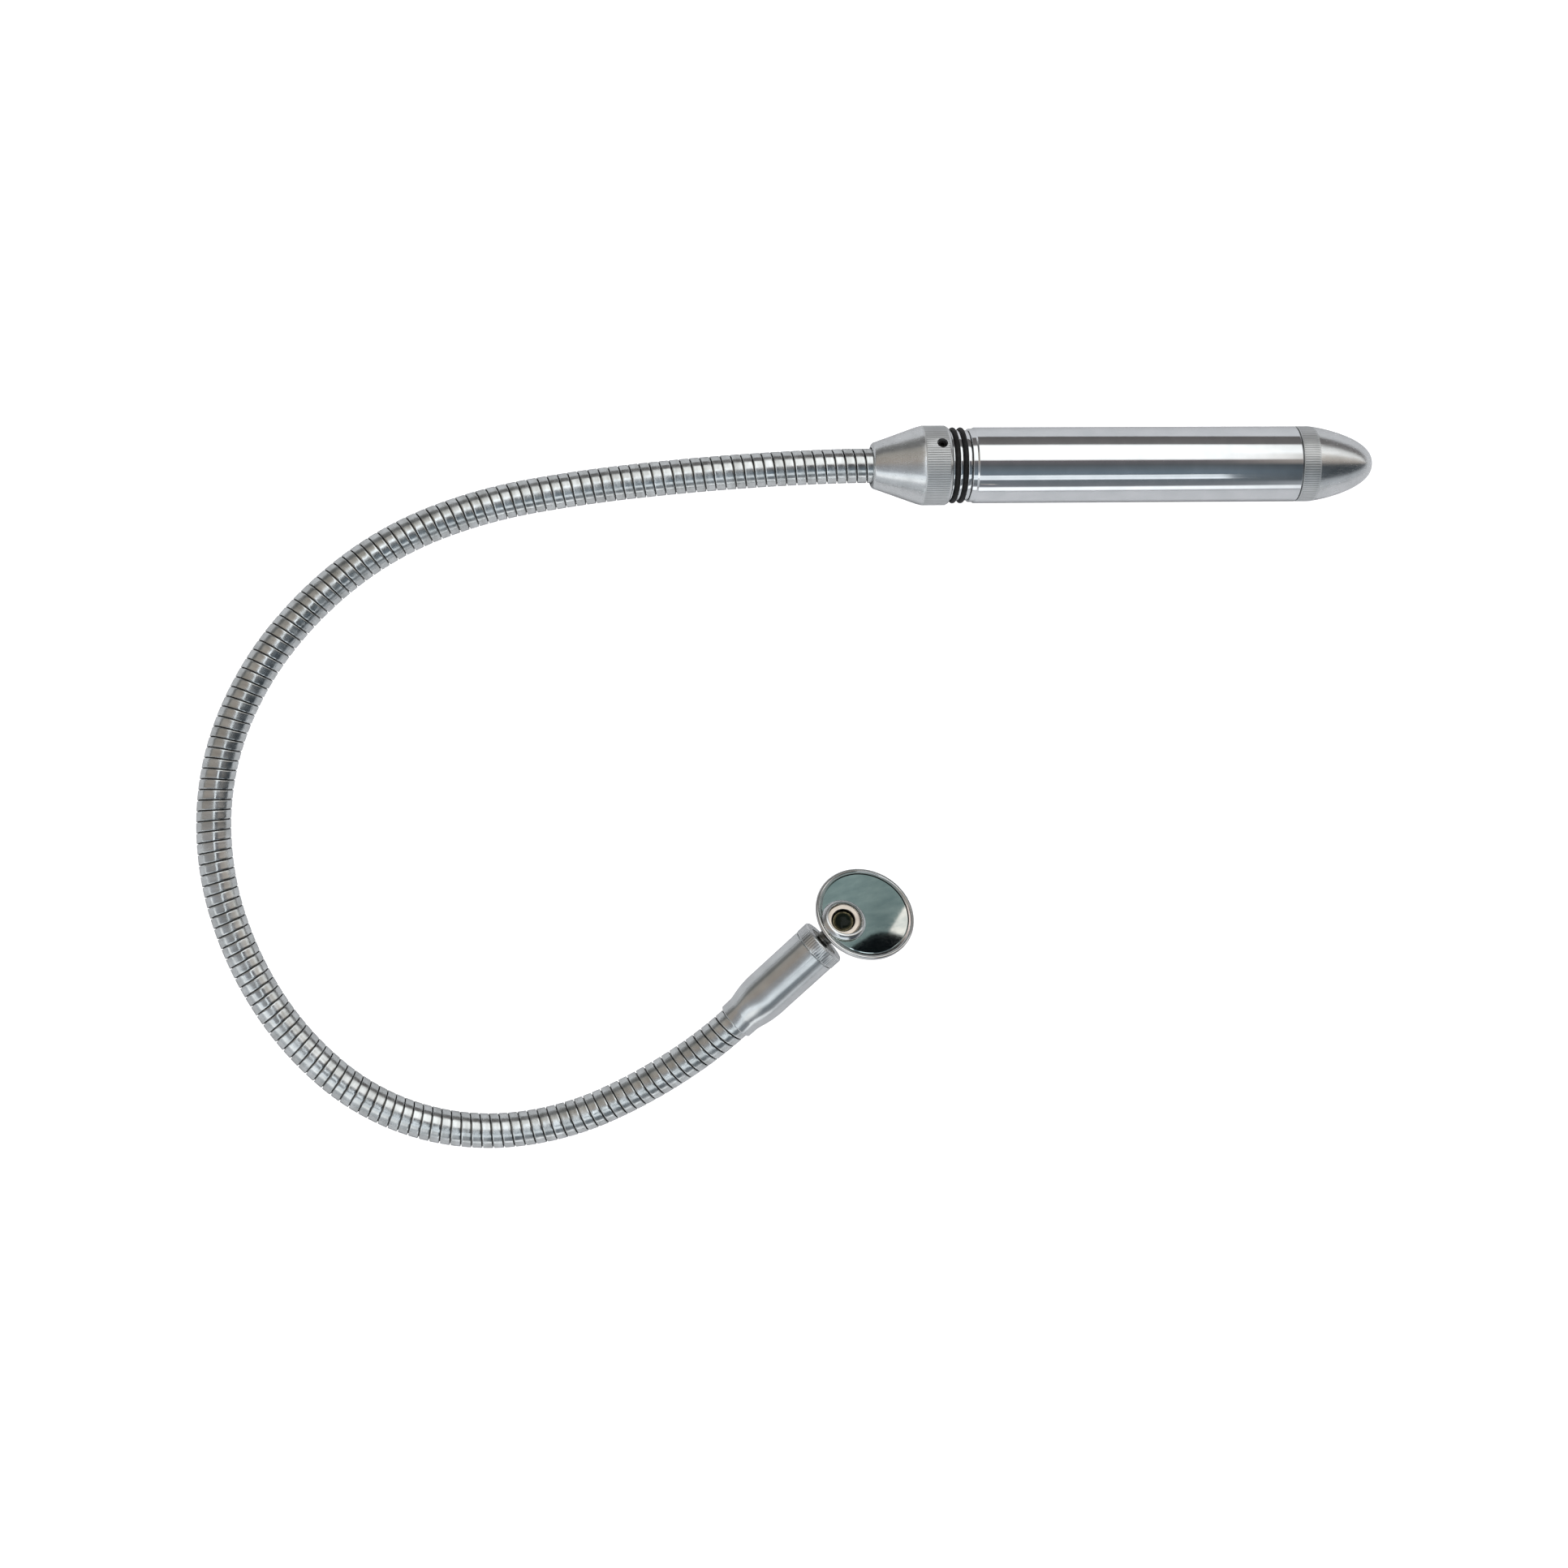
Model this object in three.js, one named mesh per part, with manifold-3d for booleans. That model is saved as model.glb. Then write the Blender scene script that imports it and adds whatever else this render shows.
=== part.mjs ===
// Gooseneck inspection light with a lighted mirror: a battery handle, a strip-wound flexible neck
// and a small head with a round mirror on a lamp ball.
// Millimetres, +Z up. The handle lies along X with its tail at +X, and the neck runs round in a
// loop on the surface that the object lies on, so that the head points back towards the handle.

import * as THREE from 'three';
import { mergeVertices } from 'three/addons/utils/BufferGeometryUtils.js';
import Module from 'manifold-3d';

const wasm = await Module();
wasm.setup();

const DEGREE = Math.PI / 180;
const TURN = 2 * Math.PI;

// Facets round a turned piece, by how large it is.
const SIDES_LARGE = 28;
const SIDES_MEDIUM = 24;
const SIDES_SMALL = 16;
const SIDES_TINY = 8;
const SIDES_NECK = 12;
const SIDES_MIRROR = 36;

// Gap kept between pieces that touch or are threaded together.
const GAP = 0.3;

// Two AA cells decide the handle: 14.5 mm across and 50.5 mm long each.
const CELL_RADIUS = 7.25;
const CELL_LENGTH = 50.5;
const CELL_NUB_RADIUS = 2.75;
const CELL_NUB_LENGTH = 1.0;

// Handle stations along its axis, measured from the face of the nose where the neck comes out.
const COLLAR_RADIUS = 9.85;
const COLLAR_START = 13.6;
const COLLAR_END = 18.5;
const NOSE_END = 19.2;
const NOSE_FACE_RADIUS = 5.3;
const NOSE_BORE_RADIUS = 8.25;
const NOSE_CAVITY_START = 10.0;
const NECK_BORE_RADIUS = 4.55;
const ADAPTER_FLANGE_RADIUS = 8.7;
const ADAPTER_SKIRT_RADIUS = 7.95;
const ADAPTER_BORE_RADIUS = 7.45;
const ADAPTER_START = 12.4;
const ADAPTER_END = 31.0;
const O_RING_STATIONS = { front: 20.4, rear: 22.4 };
const O_RING_SECTION = 0.62;
const O_RING_RADIUS = 8.8;
const O_RING_GROOVE_HALF_WIDTH = 0.75;
const O_RING_GROOVE_RADIUS = 8.02;
const BARREL_RADIUS = 9.4;
const BARREL_BORE_RADIUS = 7.5;
const BARREL_THREAD_RADIUS = 8.35;
const BARREL_START = 24.1;
const BARREL_END = 107.6;
const BARREL_CHAMFER = 0.5;
const THREAD_DEPTH = 7.5;
const CELLS_START = 14.8;
const CELL_SPACING = CELL_LENGTH + 0.15;
const CELLS_END = CELLS_START + CELL_SPACING + CELL_LENGTH + 0.25;
const TAIL_SEAM = BARREL_END + GAP;
const TAIL_KNURL_END = 111.0;
const TAIL_TIP = 127.7;
const TAIL_WALL = 1.25;
const TAIL_SKIRT_LENGTH = 6.0;
const TAIL_CAVITY_END = 123.0;
const TAIL_CAVITY_STATIONS = [TAIL_CAVITY_END, 120.5, 118.0];

// The grub screw that locks the nose to the adapter: its station, and its angle from straight up
// towards +Y.
const GRUB_STATION = 16.6;
const GRUB_ANGLE = 30 * DEGREE;
const GRUB_HOLE_RADIUS = 1.35;
const GRUB_RADIUS = 1.05;

// Small turned pieces inside the handle and the head: their stations, radius and bore.
const CONTACT_PLATE = { start: 121.2, end: 122.0, radius: 4.4, bore: 0 };
const CONTACT_INSULATOR = { start: 12.9, end: 14.3, radius: 7.1, bore: 1.5 };
const CONTACT_PIN = { start: 12.3, end: 14.6, radius: 1.2, bore: 0 };
const DRIVER_BOARD = { start: 10.8, end: 11.9, radius: 7.4, bore: 0 };
const FERRULE_REAR = { start: 8.8, end: 10.4, radius: 4.2, bore: 1.9 };
const FERRULE_FRONT = { start: 8.4, end: 10.0, radius: 4.2, bore: 1.9 };
const WAVE_WASHER = { start: 23.7, end: 24.4, radius: 4.4, bore: 2.9 };
const FRICTION_WASHER = { start: 24.7, end: 26.2, radius: 4.4, bore: 2.9 };

// Leads, side by side about the axis.
const LEAD_RADIUS = 0.5;
const LEAD_OFFSET = 0.8;
const REAR_LEAD = { start: -1.0, end: 10.5 };
const FRONT_LEAD = { start: 1.0, end: 25.2 };

// Neck: outer and bore radius, and its length from the nose face to the head.
const NECK_RADIUS = 4.25;
const NECK_BORE = 2.2;
const NECK_LENGTH = 384;
const NECK_END_STRETCH = 14;
const HINGE_COUNT = 16;
const HINGE_PITCH = (NECK_LENGTH - 2 * NECK_END_STRETCH) / (HINGE_COUNT - 1);
const NECK_IN_NOSE = 8.5;
const NECK_IN_HEAD = 8.0;

// Each stretch of neck ends in a cone, so that two neighbours can bend 30 degrees without touching.
const END_CONE = Math.tan(16.5 * DEGREE);
const END_GAP = 0.15;

// The neck's shape: how many degrees it bends in the plane of the loop over each stretch from one
// hinge to the next, and how steeply it climbs at the start of each stretch and at its very end.
const BENDS = [2, 2, 2, 4, 11, 16, 14, 17, 20, 18.25, 15.5, 17.25, 23, 22.5, 19.25, 11, 8];
const CLIMBS = [0, -3, -4.5, -4.5, -2, 0, 0, 0, 0, 0, 0, 0, 0, 0, 3, 7.5, 12, 14];
const ROUTE_STEP = 0.5;

// Head stations along its axis, measured from its neck end.
const HEAD_LENGTH = 29.7;
const HEAD_COLLAR_RADIUS = 4.85;
const HEAD_COLLAR_LENGTH = 3.2;
const HEAD_FLARE_END = 10.0;
const HEAD_RADIUS = 6.0;
const CAP_RADIUS = 6.1;
const CAP_LENGTH = 3.35;
const CAP_OPENING = 3.95;
const HEAD_THREAD_RADIUS = 5.25;
const HEAD_BORE_RADIUS = 4.7;
const HEAD_LEDGE_START = 22.0;
const HEAD_LEDGE_END = 23.4;
const HEAD_LEDGE_RADIUS = 3.2;
const HEAD_SHELL_END = HEAD_LENGTH - 1.4;
const HEAD_SEAM = HEAD_LENGTH - CAP_LENGTH - 0.05;

// Lamp ball on its stud: the stud stands off the head's axis, and the ball is in front of the cap.
const STUD_OFFSET = 1.4;
const STUD_RADIUS = 2.0;
const STUD_NECK_RADIUS = 1.45;
const STUD_BORE_RADIUS = 0.55;
const STUD_ROLL = 20 * DEGREE;
const BALL_REACH = 6.8;
const BALL_RADIUS = 4.35;
const LAMP_LEAN = 66 * DEGREE;
const LAMP_BORE_RADIUS = 2.8;
const LAMP_FACE = 1.6;
const LAMP_FLOOR = -1.0;

// Mirror: a glass disc in a shallow cup, off centre on the ball.
const MIRROR_LEAN = 50 * DEGREE;
const MIRROR_SPIN = -13 * DEGREE;
const MIRROR_RADIUS = 12.5;
const MIRROR_OFFSET = 6.2;
const MIRROR_RIM_WIDTH = 1.1;
const MIRROR_FRONT = 0.95;
const MIRROR_BACK = -0.95;
const GLASS_THICKNESS = 0.9;
const SOCKET_RADIUS = 5.5;
const LINER_RADIUS = 4.95;
const LINER_HALF_LENGTH = 1.0;
const SOCKET_BACK_END = -2.7;
const SOCKET_BACK_STEP = -2.1;
const SLOT = { depth: 4, length: 9, width: 9.4 };

const aluminium = finish(0xc9ccd0, 0.28, 1.0);
const satinAluminium = finish(0xb4b7bb, 0.45, 1.0);
const steel = finish(0x9b9fa3, 0.35, 1.0);
const darkSteel = finish(0x3c3d3f, 0.45, 1.0);
const nickel = finish(0xc9b9a6, 0.3, 1.0);
const brass = finish(0xc2a049, 0.35, 1.0);
const blackRubber = finish(0x0b0b0c, 0.6, 0.0);
const nylon = finish(0xe8e6df, 0.5, 0.0);
const boardGreen = finish(0x1f5a38, 0.6, 0.0);
const cellSleeve = finish(0x2b3f63, 0.4, 0.1);
const mirrorGlass = finish(0x8fa6a6, 0.05, 1.0);
const clearDome = finish(0x20221f, 0.1, 0.0);
const redSleeve = finish(0xa3201c, 0.5, 0.0);
const blackSleeve = finish(0x151515, 0.5, 0.0);

function finish(color, roughness, metalness) {
  return new THREE.MeshStandardMaterial({ color, roughness, metalness });
}

// A closed body turned about X. The profile is a list of [station, radius] points, in either
// direction. It starts and ends on the axis, or it goes round a ring's section once.
function turned(profile, sides = SIDES_LARGE) {
  const points = profile.map(([station, radius]) => new THREE.Vector2(radius, station));
  let doubledArea = 0;
  points.forEach((point, index) => {
    const next = points[(index + 1) % points.length];
    doubledArea += point.x * next.y - next.x * point.y;
  });
  if (doubledArea < 0) {
    points.reverse();
  }
  const onAxis = points[0].x === 0 && points[points.length - 1].x === 0;
  if (!onAxis) {
    points.push(points[0].clone());
  }
  return new THREE.LatheGeometry(points, sides).rotateZ(-Math.PI / 2);
}

// A plain sleeve, washer or disc turned about X.
function sleeve(start, end, outer, inner = 0, sides = SIDES_LARGE) {
  return turned([[start, inner], [start, outer], [end, outer], [end, inner]], sides);
}

// A small piece from its stations, radius and bore.
function disc(section, sides = SIDES_SMALL) {
  return sleeve(section.start, section.end, section.radius, section.bore, sides);
}

function oRing(station) {
  const profile = [];
  const sectionSides = 6;
  for (let i = 0; i < sectionSides; i += 1) {
    const angle = ((i + 0.5) / sectionSides) * TURN;
    const across = O_RING_RADIUS + O_RING_SECTION * Math.sin(angle);
    profile.push([station + O_RING_SECTION * Math.cos(angle), across]);
  }
  return turned(profile);
}

function toManifold(geometry) {
  const bare = geometry.clone();
  bare.deleteAttribute('normal');
  bare.deleteAttribute('uv');
  const merged = mergeVertices(bare, 1e-4);
  const mesh = new wasm.Mesh({
    numProp: 3,
    vertProperties: new Float32Array(merged.attributes.position.array),
    triVerts: new Uint32Array(merged.index.array),
  });
  return new wasm.Manifold(mesh);
}

function fromManifold(manifold) {
  const mesh = manifold.getMesh();
  const geometry = new THREE.BufferGeometry();
  geometry.setAttribute('position', new THREE.BufferAttribute(mesh.vertProperties, 3));
  geometry.setIndex(new THREE.BufferAttribute(mesh.triVerts, 1));
  geometry.computeVertexNormals();
  return geometry;
}

function cut(geometry, ...tools) {
  let body = toManifold(geometry);
  for (const tool of tools) {
    body = body.subtract(toManifold(tool));
  }
  return fromManifold(body);
}

function place(parent, name, geometry, material) {
  const mesh = new THREE.Mesh(geometry, material);
  mesh.name = name;
  parent.add(mesh);
  return mesh;
}

// Radius of the tail cap's bullet shape at a station. Its cavity follows the same shape.
function bulletRadius(station) {
  const along = Math.max(0, (station - TAIL_KNURL_END) / (TAIL_TIP - TAIL_KNURL_END));
  return BARREL_RADIUS * (1 - Math.min(1, along) ** 1.3) ** 0.43;
}

function batteryBarrel() {
  const rim = BARREL_RADIUS - BARREL_CHAMFER;
  return turned([
    [BARREL_START, BARREL_THREAD_RADIUS],
    [BARREL_START, rim],
    [BARREL_START + BARREL_CHAMFER, BARREL_RADIUS],
    [BARREL_END, BARREL_RADIUS],
    [BARREL_END, BARREL_THREAD_RADIUS],
    [BARREL_END - THREAD_DEPTH, BARREL_THREAD_RADIUS],
    [BARREL_END - THREAD_DEPTH, BARREL_BORE_RADIUS],
    [BARREL_START + THREAD_DEPTH, BARREL_BORE_RADIUS],
    [BARREL_START + THREAD_DEPTH, BARREL_THREAD_RADIUS],
  ]);
}

// One AA cell, with its positive nub towards the nose.
function cell(start) {
  return turned([
    [start, 0],
    [start, CELL_NUB_RADIUS],
    [start + CELL_NUB_LENGTH, CELL_NUB_RADIUS],
    [start + CELL_NUB_LENGTH, CELL_RADIUS],
    [start + CELL_LENGTH, CELL_RADIUS],
    [start + CELL_LENGTH, 0],
  ], SIDES_SMALL);
}

function tailCap() {
  const skirtStart = TAIL_SEAM - TAIL_SKIRT_LENGTH;
  const profile = [[TAIL_CAVITY_END, 0]];
  for (const station of TAIL_CAVITY_STATIONS) {
    profile.push([station, bulletRadius(station + TAIL_WALL) - TAIL_WALL]);
  }
  profile.push([CELLS_END, BARREL_BORE_RADIUS]);
  profile.push([skirtStart, BARREL_BORE_RADIUS]);
  profile.push([skirtStart, BARREL_THREAD_RADIUS - GAP]);
  profile.push([TAIL_SEAM, BARREL_THREAD_RADIUS - GAP]);
  profile.push([TAIL_SEAM, BARREL_RADIUS]);
  const steps = 8;
  for (let i = 0; i < steps; i += 1) {
    // Stations crowd towards the tip, where the shape turns quickest.
    const along = 1 - (1 - i / steps) ** 1.7;
    const station = TAIL_KNURL_END + along * (TAIL_TIP - TAIL_KNURL_END);
    profile.push([station, bulletRadius(station)]);
  }
  profile.push([TAIL_TIP, 0]);
  return turned(profile);
}

// The negative contact spring, wound wide against the cell and narrow against the contact plate.
function tailSpring() {
  const start = CELLS_END + 0.35;
  const length = 3.9;
  const turns = 3;
  const wire = 0.35;
  class Helix extends THREE.Curve {
    getPoint(t, target = new THREE.Vector3()) {
      const radius = 5.0 - 1.4 * t;
      const angle = t * turns * TURN;
      return target.set(start + t * length, radius * Math.cos(angle), radius * Math.sin(angle));
    }
  }
  return wireAlong(new Helix(), wire, turns * 12, 6);
}

// A round wire along a curve, with closed ends.
function wireAlong(curve, radius, steps, sides) {
  const section = new THREE.Shape();
  for (let i = 0; i < sides; i += 1) {
    const angle = (i / sides) * TURN;
    const x = radius * Math.cos(angle);
    const y = radius * Math.sin(angle);
    if (i === 0) {
      section.moveTo(x, y);
    } else {
      section.lineTo(x, y);
    }
  }
  section.closePath();
  return new THREE.ExtrudeGeometry(section, { steps, extrudePath: curve, bevelEnabled: false });
}

// The threaded adapter between the nose and the barrel. Its flange shows between them and carries
// two O-rings in grooves.
function switchAdapter() {
  const profile = [
    [ADAPTER_START, ADAPTER_BORE_RADIUS],
    [ADAPTER_START, ADAPTER_SKIRT_RADIUS],
    [NOSE_END + 0.15, ADAPTER_SKIRT_RADIUS],
    [NOSE_END + 0.15, ADAPTER_FLANGE_RADIUS],
  ];
  for (const station of Object.values(O_RING_STATIONS)) {
    const grooveStart = station - O_RING_GROOVE_HALF_WIDTH;
    const grooveEnd = station + O_RING_GROOVE_HALF_WIDTH;
    profile.push([grooveStart, ADAPTER_FLANGE_RADIUS]);
    profile.push([grooveStart, O_RING_GROOVE_RADIUS]);
    profile.push([grooveEnd, O_RING_GROOVE_RADIUS]);
    profile.push([grooveEnd, ADAPTER_FLANGE_RADIUS]);
  }
  profile.push([BARREL_START - 0.15, ADAPTER_FLANGE_RADIUS]);
  profile.push([BARREL_START - 0.15, BARREL_THREAD_RADIUS - GAP]);
  profile.push([ADAPTER_END, BARREL_THREAD_RADIUS - GAP]);
  profile.push([ADAPTER_END, ADAPTER_BORE_RADIUS]);
  return turned(profile);
}

function noseCone() {
  const body = turned([
    [0, NECK_BORE_RADIUS],
    [0, NOSE_FACE_RADIUS],
    [0.8, 5.8],
    [2.0, 6.3],
    [COLLAR_START - 3.0, 9.3],
    [COLLAR_START - 1.4, 9.68],
    [COLLAR_START, COLLAR_RADIUS],
    [COLLAR_END, COLLAR_RADIUS],
    [NOSE_END, COLLAR_RADIUS - 0.4],
    [NOSE_END, NOSE_BORE_RADIUS],
    [NOSE_CAVITY_START, NOSE_BORE_RADIUS],
    [NOSE_CAVITY_START, NECK_BORE_RADIUS],
  ]);
  return cut(body, screwHole(GRUB_HOLE_RADIUS, NOSE_BORE_RADIUS - 1, COLLAR_RADIUS + 1));
}

function screwHole(radius, inner, outer) {
  const rod = sleeve(inner, outer, radius, 0, SIDES_SMALL);
  rod.rotateY(-Math.PI / 2);
  rod.rotateX(-GRUB_ANGLE);
  rod.translate(GRUB_STATION, 0, 0);
  return rod;
}

// Neck route. Heading turns in the plane of the loop and climb tilts out of it, both in degrees and
// both even along each stretch. The table of points is summed in small steps.
const knots = [0];
for (let i = 0; i < HINGE_COUNT; i += 1) {
  knots.push(NECK_END_STRETCH + i * HINGE_PITCH);
}
knots.push(NECK_LENGTH);
const headings = [180];
for (const bend of BENDS) {
  headings.push(headings[headings.length - 1] + bend);
}

function between(values, distance) {
  let stretch = knots.findIndex((knot) => knot > distance) - 1;
  if (stretch < 0) {
    stretch = distance < 0 ? 0 : knots.length - 2;
  }
  const start = knots[stretch];
  const end = knots[stretch + 1];
  const share = THREE.MathUtils.clamp((distance - start) / (end - start), 0, 1);
  return THREE.MathUtils.lerp(values[stretch], values[stretch + 1], share);
}

function directionAt(distance) {
  const heading = between(headings, distance) * DEGREE;
  const climb = between(CLIMBS, distance) * DEGREE;
  return new THREE.Vector3(
    Math.cos(climb) * Math.cos(heading),
    Math.cos(climb) * Math.sin(heading),
    Math.sin(climb),
  );
}

const routePoints = [new THREE.Vector3(0, 0, COLLAR_RADIUS)];
for (let distance = 0; distance < NECK_LENGTH; distance += ROUTE_STEP) {
  const next = directionAt(distance + ROUTE_STEP / 2).multiplyScalar(ROUTE_STEP);
  routePoints.push(routePoints[routePoints.length - 1].clone().add(next));
}

function pointAt(distance) {
  const position = THREE.MathUtils.clamp(distance / ROUTE_STEP, 0, routePoints.length - 1);
  const index = Math.min(Math.floor(position), routePoints.length - 2);
  const point = routePoints[index].clone().lerp(routePoints[index + 1], position - index);
  const beyond = distance - THREE.MathUtils.clamp(distance, 0, NECK_LENGTH);
  return point.addScaledVector(directionAt(distance), beyond);
}

// The neck's own frame at a distance along it: X along the neck, Y level and to its left, Z up.
function frameAt(distance) {
  const along = directionAt(distance);
  const left = new THREE.Vector3(-along.y, along.x, 0).normalize();
  const up = new THREE.Vector3().crossVectors(along, left);
  return new THREE.Matrix4().makeBasis(along, left, up).setPosition(pointAt(distance));
}

function frameGroup(name, distance) {
  const group = new THREE.Group();
  group.name = name;
  frameAt(distance).decompose(group.position, group.quaternion, group.scale);
  return group;
}

// One stretch of neck between two distances, in the frame at its start. An end that meets another
// stretch is coned, and an end that is held in the nose or the head is square.
function neckStretch(start, end, coneStart, coneEnd, origin) {
  const setback = (radius, coned) => (coned ? radius * END_CONE + END_GAP : 0);
  const outerStart = start + setback(NECK_RADIUS, coneStart);
  const outerEnd = end - setback(NECK_RADIUS, coneEnd);
  const innerStart = start + setback(NECK_BORE, coneStart);
  const innerEnd = end - setback(NECK_BORE, coneEnd);
  const stations = 4;
  const profile = [];
  for (let i = 0; i <= stations; i += 1) {
    profile.push([THREE.MathUtils.lerp(outerStart, outerEnd, i / stations), NECK_RADIUS]);
  }
  for (let i = 2; i >= 0; i -= 1) {
    profile.push([THREE.MathUtils.lerp(innerStart, innerEnd, i / 2), NECK_BORE]);
  }
  const geometry = turned(profile, SIDES_NECK);
  const toLocal = frameAt(origin).invert();
  const vertices = geometry.attributes.position;
  const vertex = new THREE.Vector3();
  for (let i = 0; i < vertices.count; i += 1) {
    vertex.fromBufferAttribute(vertices, i);
    const frame = frameAt(vertex.x).premultiply(toLocal);
    vertex.setX(0).applyMatrix4(frame);
    vertices.setXYZ(i, vertex.x, vertex.y, vertex.z);
  }
  return geometry;
}

function headShell() {
  const profile = [
    [0, NECK_BORE_RADIUS],
    [0, HEAD_COLLAR_RADIUS - 0.2],
    [0.25, HEAD_COLLAR_RADIUS],
    [HEAD_COLLAR_LENGTH, HEAD_COLLAR_RADIUS + 0.05],
    [HEAD_COLLAR_LENGTH + 1.6, 5.3],
    [HEAD_COLLAR_LENGTH + 3.6, 5.75],
    [HEAD_FLARE_END, HEAD_RADIUS - 0.03],
    [HEAD_SEAM, HEAD_RADIUS],
    [HEAD_SEAM, HEAD_THREAD_RADIUS],
    [HEAD_SHELL_END, HEAD_THREAD_RADIUS],
    [HEAD_SHELL_END, HEAD_BORE_RADIUS],
    [HEAD_LEDGE_END, HEAD_BORE_RADIUS],
    [HEAD_LEDGE_END, HEAD_LEDGE_RADIUS],
    [HEAD_LEDGE_START, HEAD_LEDGE_RADIUS],
    [HEAD_LEDGE_START, NECK_BORE_RADIUS],
  ];
  return turned(profile, SIDES_MEDIUM);
}

function headCap() {
  const start = HEAD_LENGTH - CAP_LENGTH + GAP - 0.1;
  const lip = HEAD_LENGTH - 0.95;
  return turned([
    [start, HEAD_THREAD_RADIUS + 0.15],
    [start, CAP_RADIUS],
    [HEAD_LENGTH - 0.35, CAP_RADIUS],
    [HEAD_LENGTH, CAP_RADIUS - 0.35],
    [HEAD_LENGTH, CAP_OPENING],
    [lip, CAP_OPENING],
    [lip, HEAD_THREAD_RADIUS + 0.15],
  ], SIDES_MEDIUM);
}

// The plug that turns in the cap and carries the stud off its centre.
function swivelPlug() {
  const flangeStart = HEAD_LENGTH - 3.1;
  const flangeEnd = HEAD_LENGTH - 1.25;
  const body = turned([
    [flangeStart, 0],
    [flangeStart, HEAD_BORE_RADIUS - GAP],
    [flangeEnd, HEAD_BORE_RADIUS - GAP],
    [flangeEnd, CAP_OPENING - 0.2],
    [HEAD_LENGTH - 0.15, CAP_OPENING - 0.2],
    [HEAD_LENGTH - 0.15, 0],
  ], SIDES_MEDIUM);
  const bore = sleeve(flangeStart - 1, HEAD_LENGTH + 1, STUD_NECK_RADIUS + GAP, 0, SIDES_SMALL);
  bore.translate(0, 0, STUD_OFFSET);
  return cut(body, bore);
}

// The hollow stud: a spigot in the plug, a grooved shank in the open and a thin end at the ball.
function swivelStud() {
  const plugFace = HEAD_LENGTH + GAP - 0.15;
  const tip = HEAD_LENGTH + BALL_REACH - BALL_RADIUS - GAP;
  const shankEnd = tip - 0.45;
  const groove = STUD_RADIUS - 0.2;
  const profile = [
    [HEAD_LENGTH - 3.4, STUD_BORE_RADIUS],
    [HEAD_LENGTH - 3.4, STUD_NECK_RADIUS],
    [plugFace, STUD_NECK_RADIUS],
    [plugFace, STUD_RADIUS],
    [plugFace + 0.6, STUD_RADIUS],
    [plugFace + 0.75, groove],
    [plugFace + 0.95, groove],
    [plugFace + 1.1, STUD_RADIUS],
    [shankEnd, STUD_RADIUS - 0.1],
    [tip, STUD_NECK_RADIUS],
    [tip, STUD_BORE_RADIUS],
  ];
  return turned(profile, SIDES_SMALL).translate(0, 0, STUD_OFFSET);
}

// The lamp ball about its own centre: flat in front, with its lamp bore opening there along +X, and
// a small wire hole where the stud meets it.
function lampBall() {
  const faceAngle = Math.acos(LAMP_FACE / BALL_RADIUS);
  const steps = 8;
  const profile = [[-BALL_RADIUS, 0]];
  for (let i = 1; i <= steps; i += 1) {
    const angle = Math.PI - (i / steps) * (Math.PI - faceAngle);
    profile.push([BALL_RADIUS * Math.cos(angle), BALL_RADIUS * Math.sin(angle)]);
  }
  profile.push([LAMP_FACE, LAMP_BORE_RADIUS]);
  profile.push([LAMP_FLOOR, LAMP_BORE_RADIUS]);
  profile.push([LAMP_FLOOR, 0]);
  const wireHole = sleeve(0, BALL_RADIUS + 1, STUD_BORE_RADIUS, 0, SIDES_TINY);
  wireHole.rotateY(Math.PI - LAMP_LEAN);
  return cut(turned(profile, SIDES_MEDIUM), wireHole);
}

// The lamp's clear dome, in the ball's bore.
function lampDome() {
  const radius = LAMP_BORE_RADIUS - GAP;
  const base = 0.2;
  const shoulder = base + 0.5;
  const rise = 0.8;
  const profile = [[base, 0], [base, radius], [shoulder, radius]];
  const steps = 4;
  for (let i = 1; i <= steps; i += 1) {
    const angle = (i / steps) * (Math.PI / 2);
    profile.push([shoulder + rise * Math.sin(angle), i === steps ? 0 : radius * Math.cos(angle)]);
  }
  return turned(profile, SIDES_SMALL);
}

// Ring pieces round the ball are bounded inside by a sphere that clears it.
function radiusAround(station, clearance) {
  return Math.sqrt((BALL_RADIUS + clearance) ** 2 - station ** 2);
}

// The nylon liner that grips the ball, turned about the mirror's normal.
function socketLiner() {
  const profile = [[-LINER_HALF_LENGTH, LINER_RADIUS], [LINER_HALF_LENGTH, LINER_RADIUS]];
  for (const share of [1, 0.35, -0.35, -1]) {
    const station = share * LINER_HALF_LENGTH;
    profile.push([station, radiusAround(station, 0.2)]);
  }
  return turned(profile, SIDES_MEDIUM);
}

// The ring on the mirror's face that holds the liner in.
function socketRing() {
  const front = MIRROR_FRONT + 1.05;
  return turned([
    [MIRROR_FRONT + 0.1, LINER_RADIUS + 0.12],
    [MIRROR_FRONT + 0.1, SOCKET_RADIUS],
    [MIRROR_FRONT + 0.45, SOCKET_RADIUS - 0.05],
    [front, SOCKET_RADIUS - 0.75],
    [front, radiusAround(front, GAP) + 0.05],
    [1.5, radiusAround(1.5, GAP) + 0.1],
    [1.5, LINER_RADIUS + 0.12],
  ], SIDES_MEDIUM);
}

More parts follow.
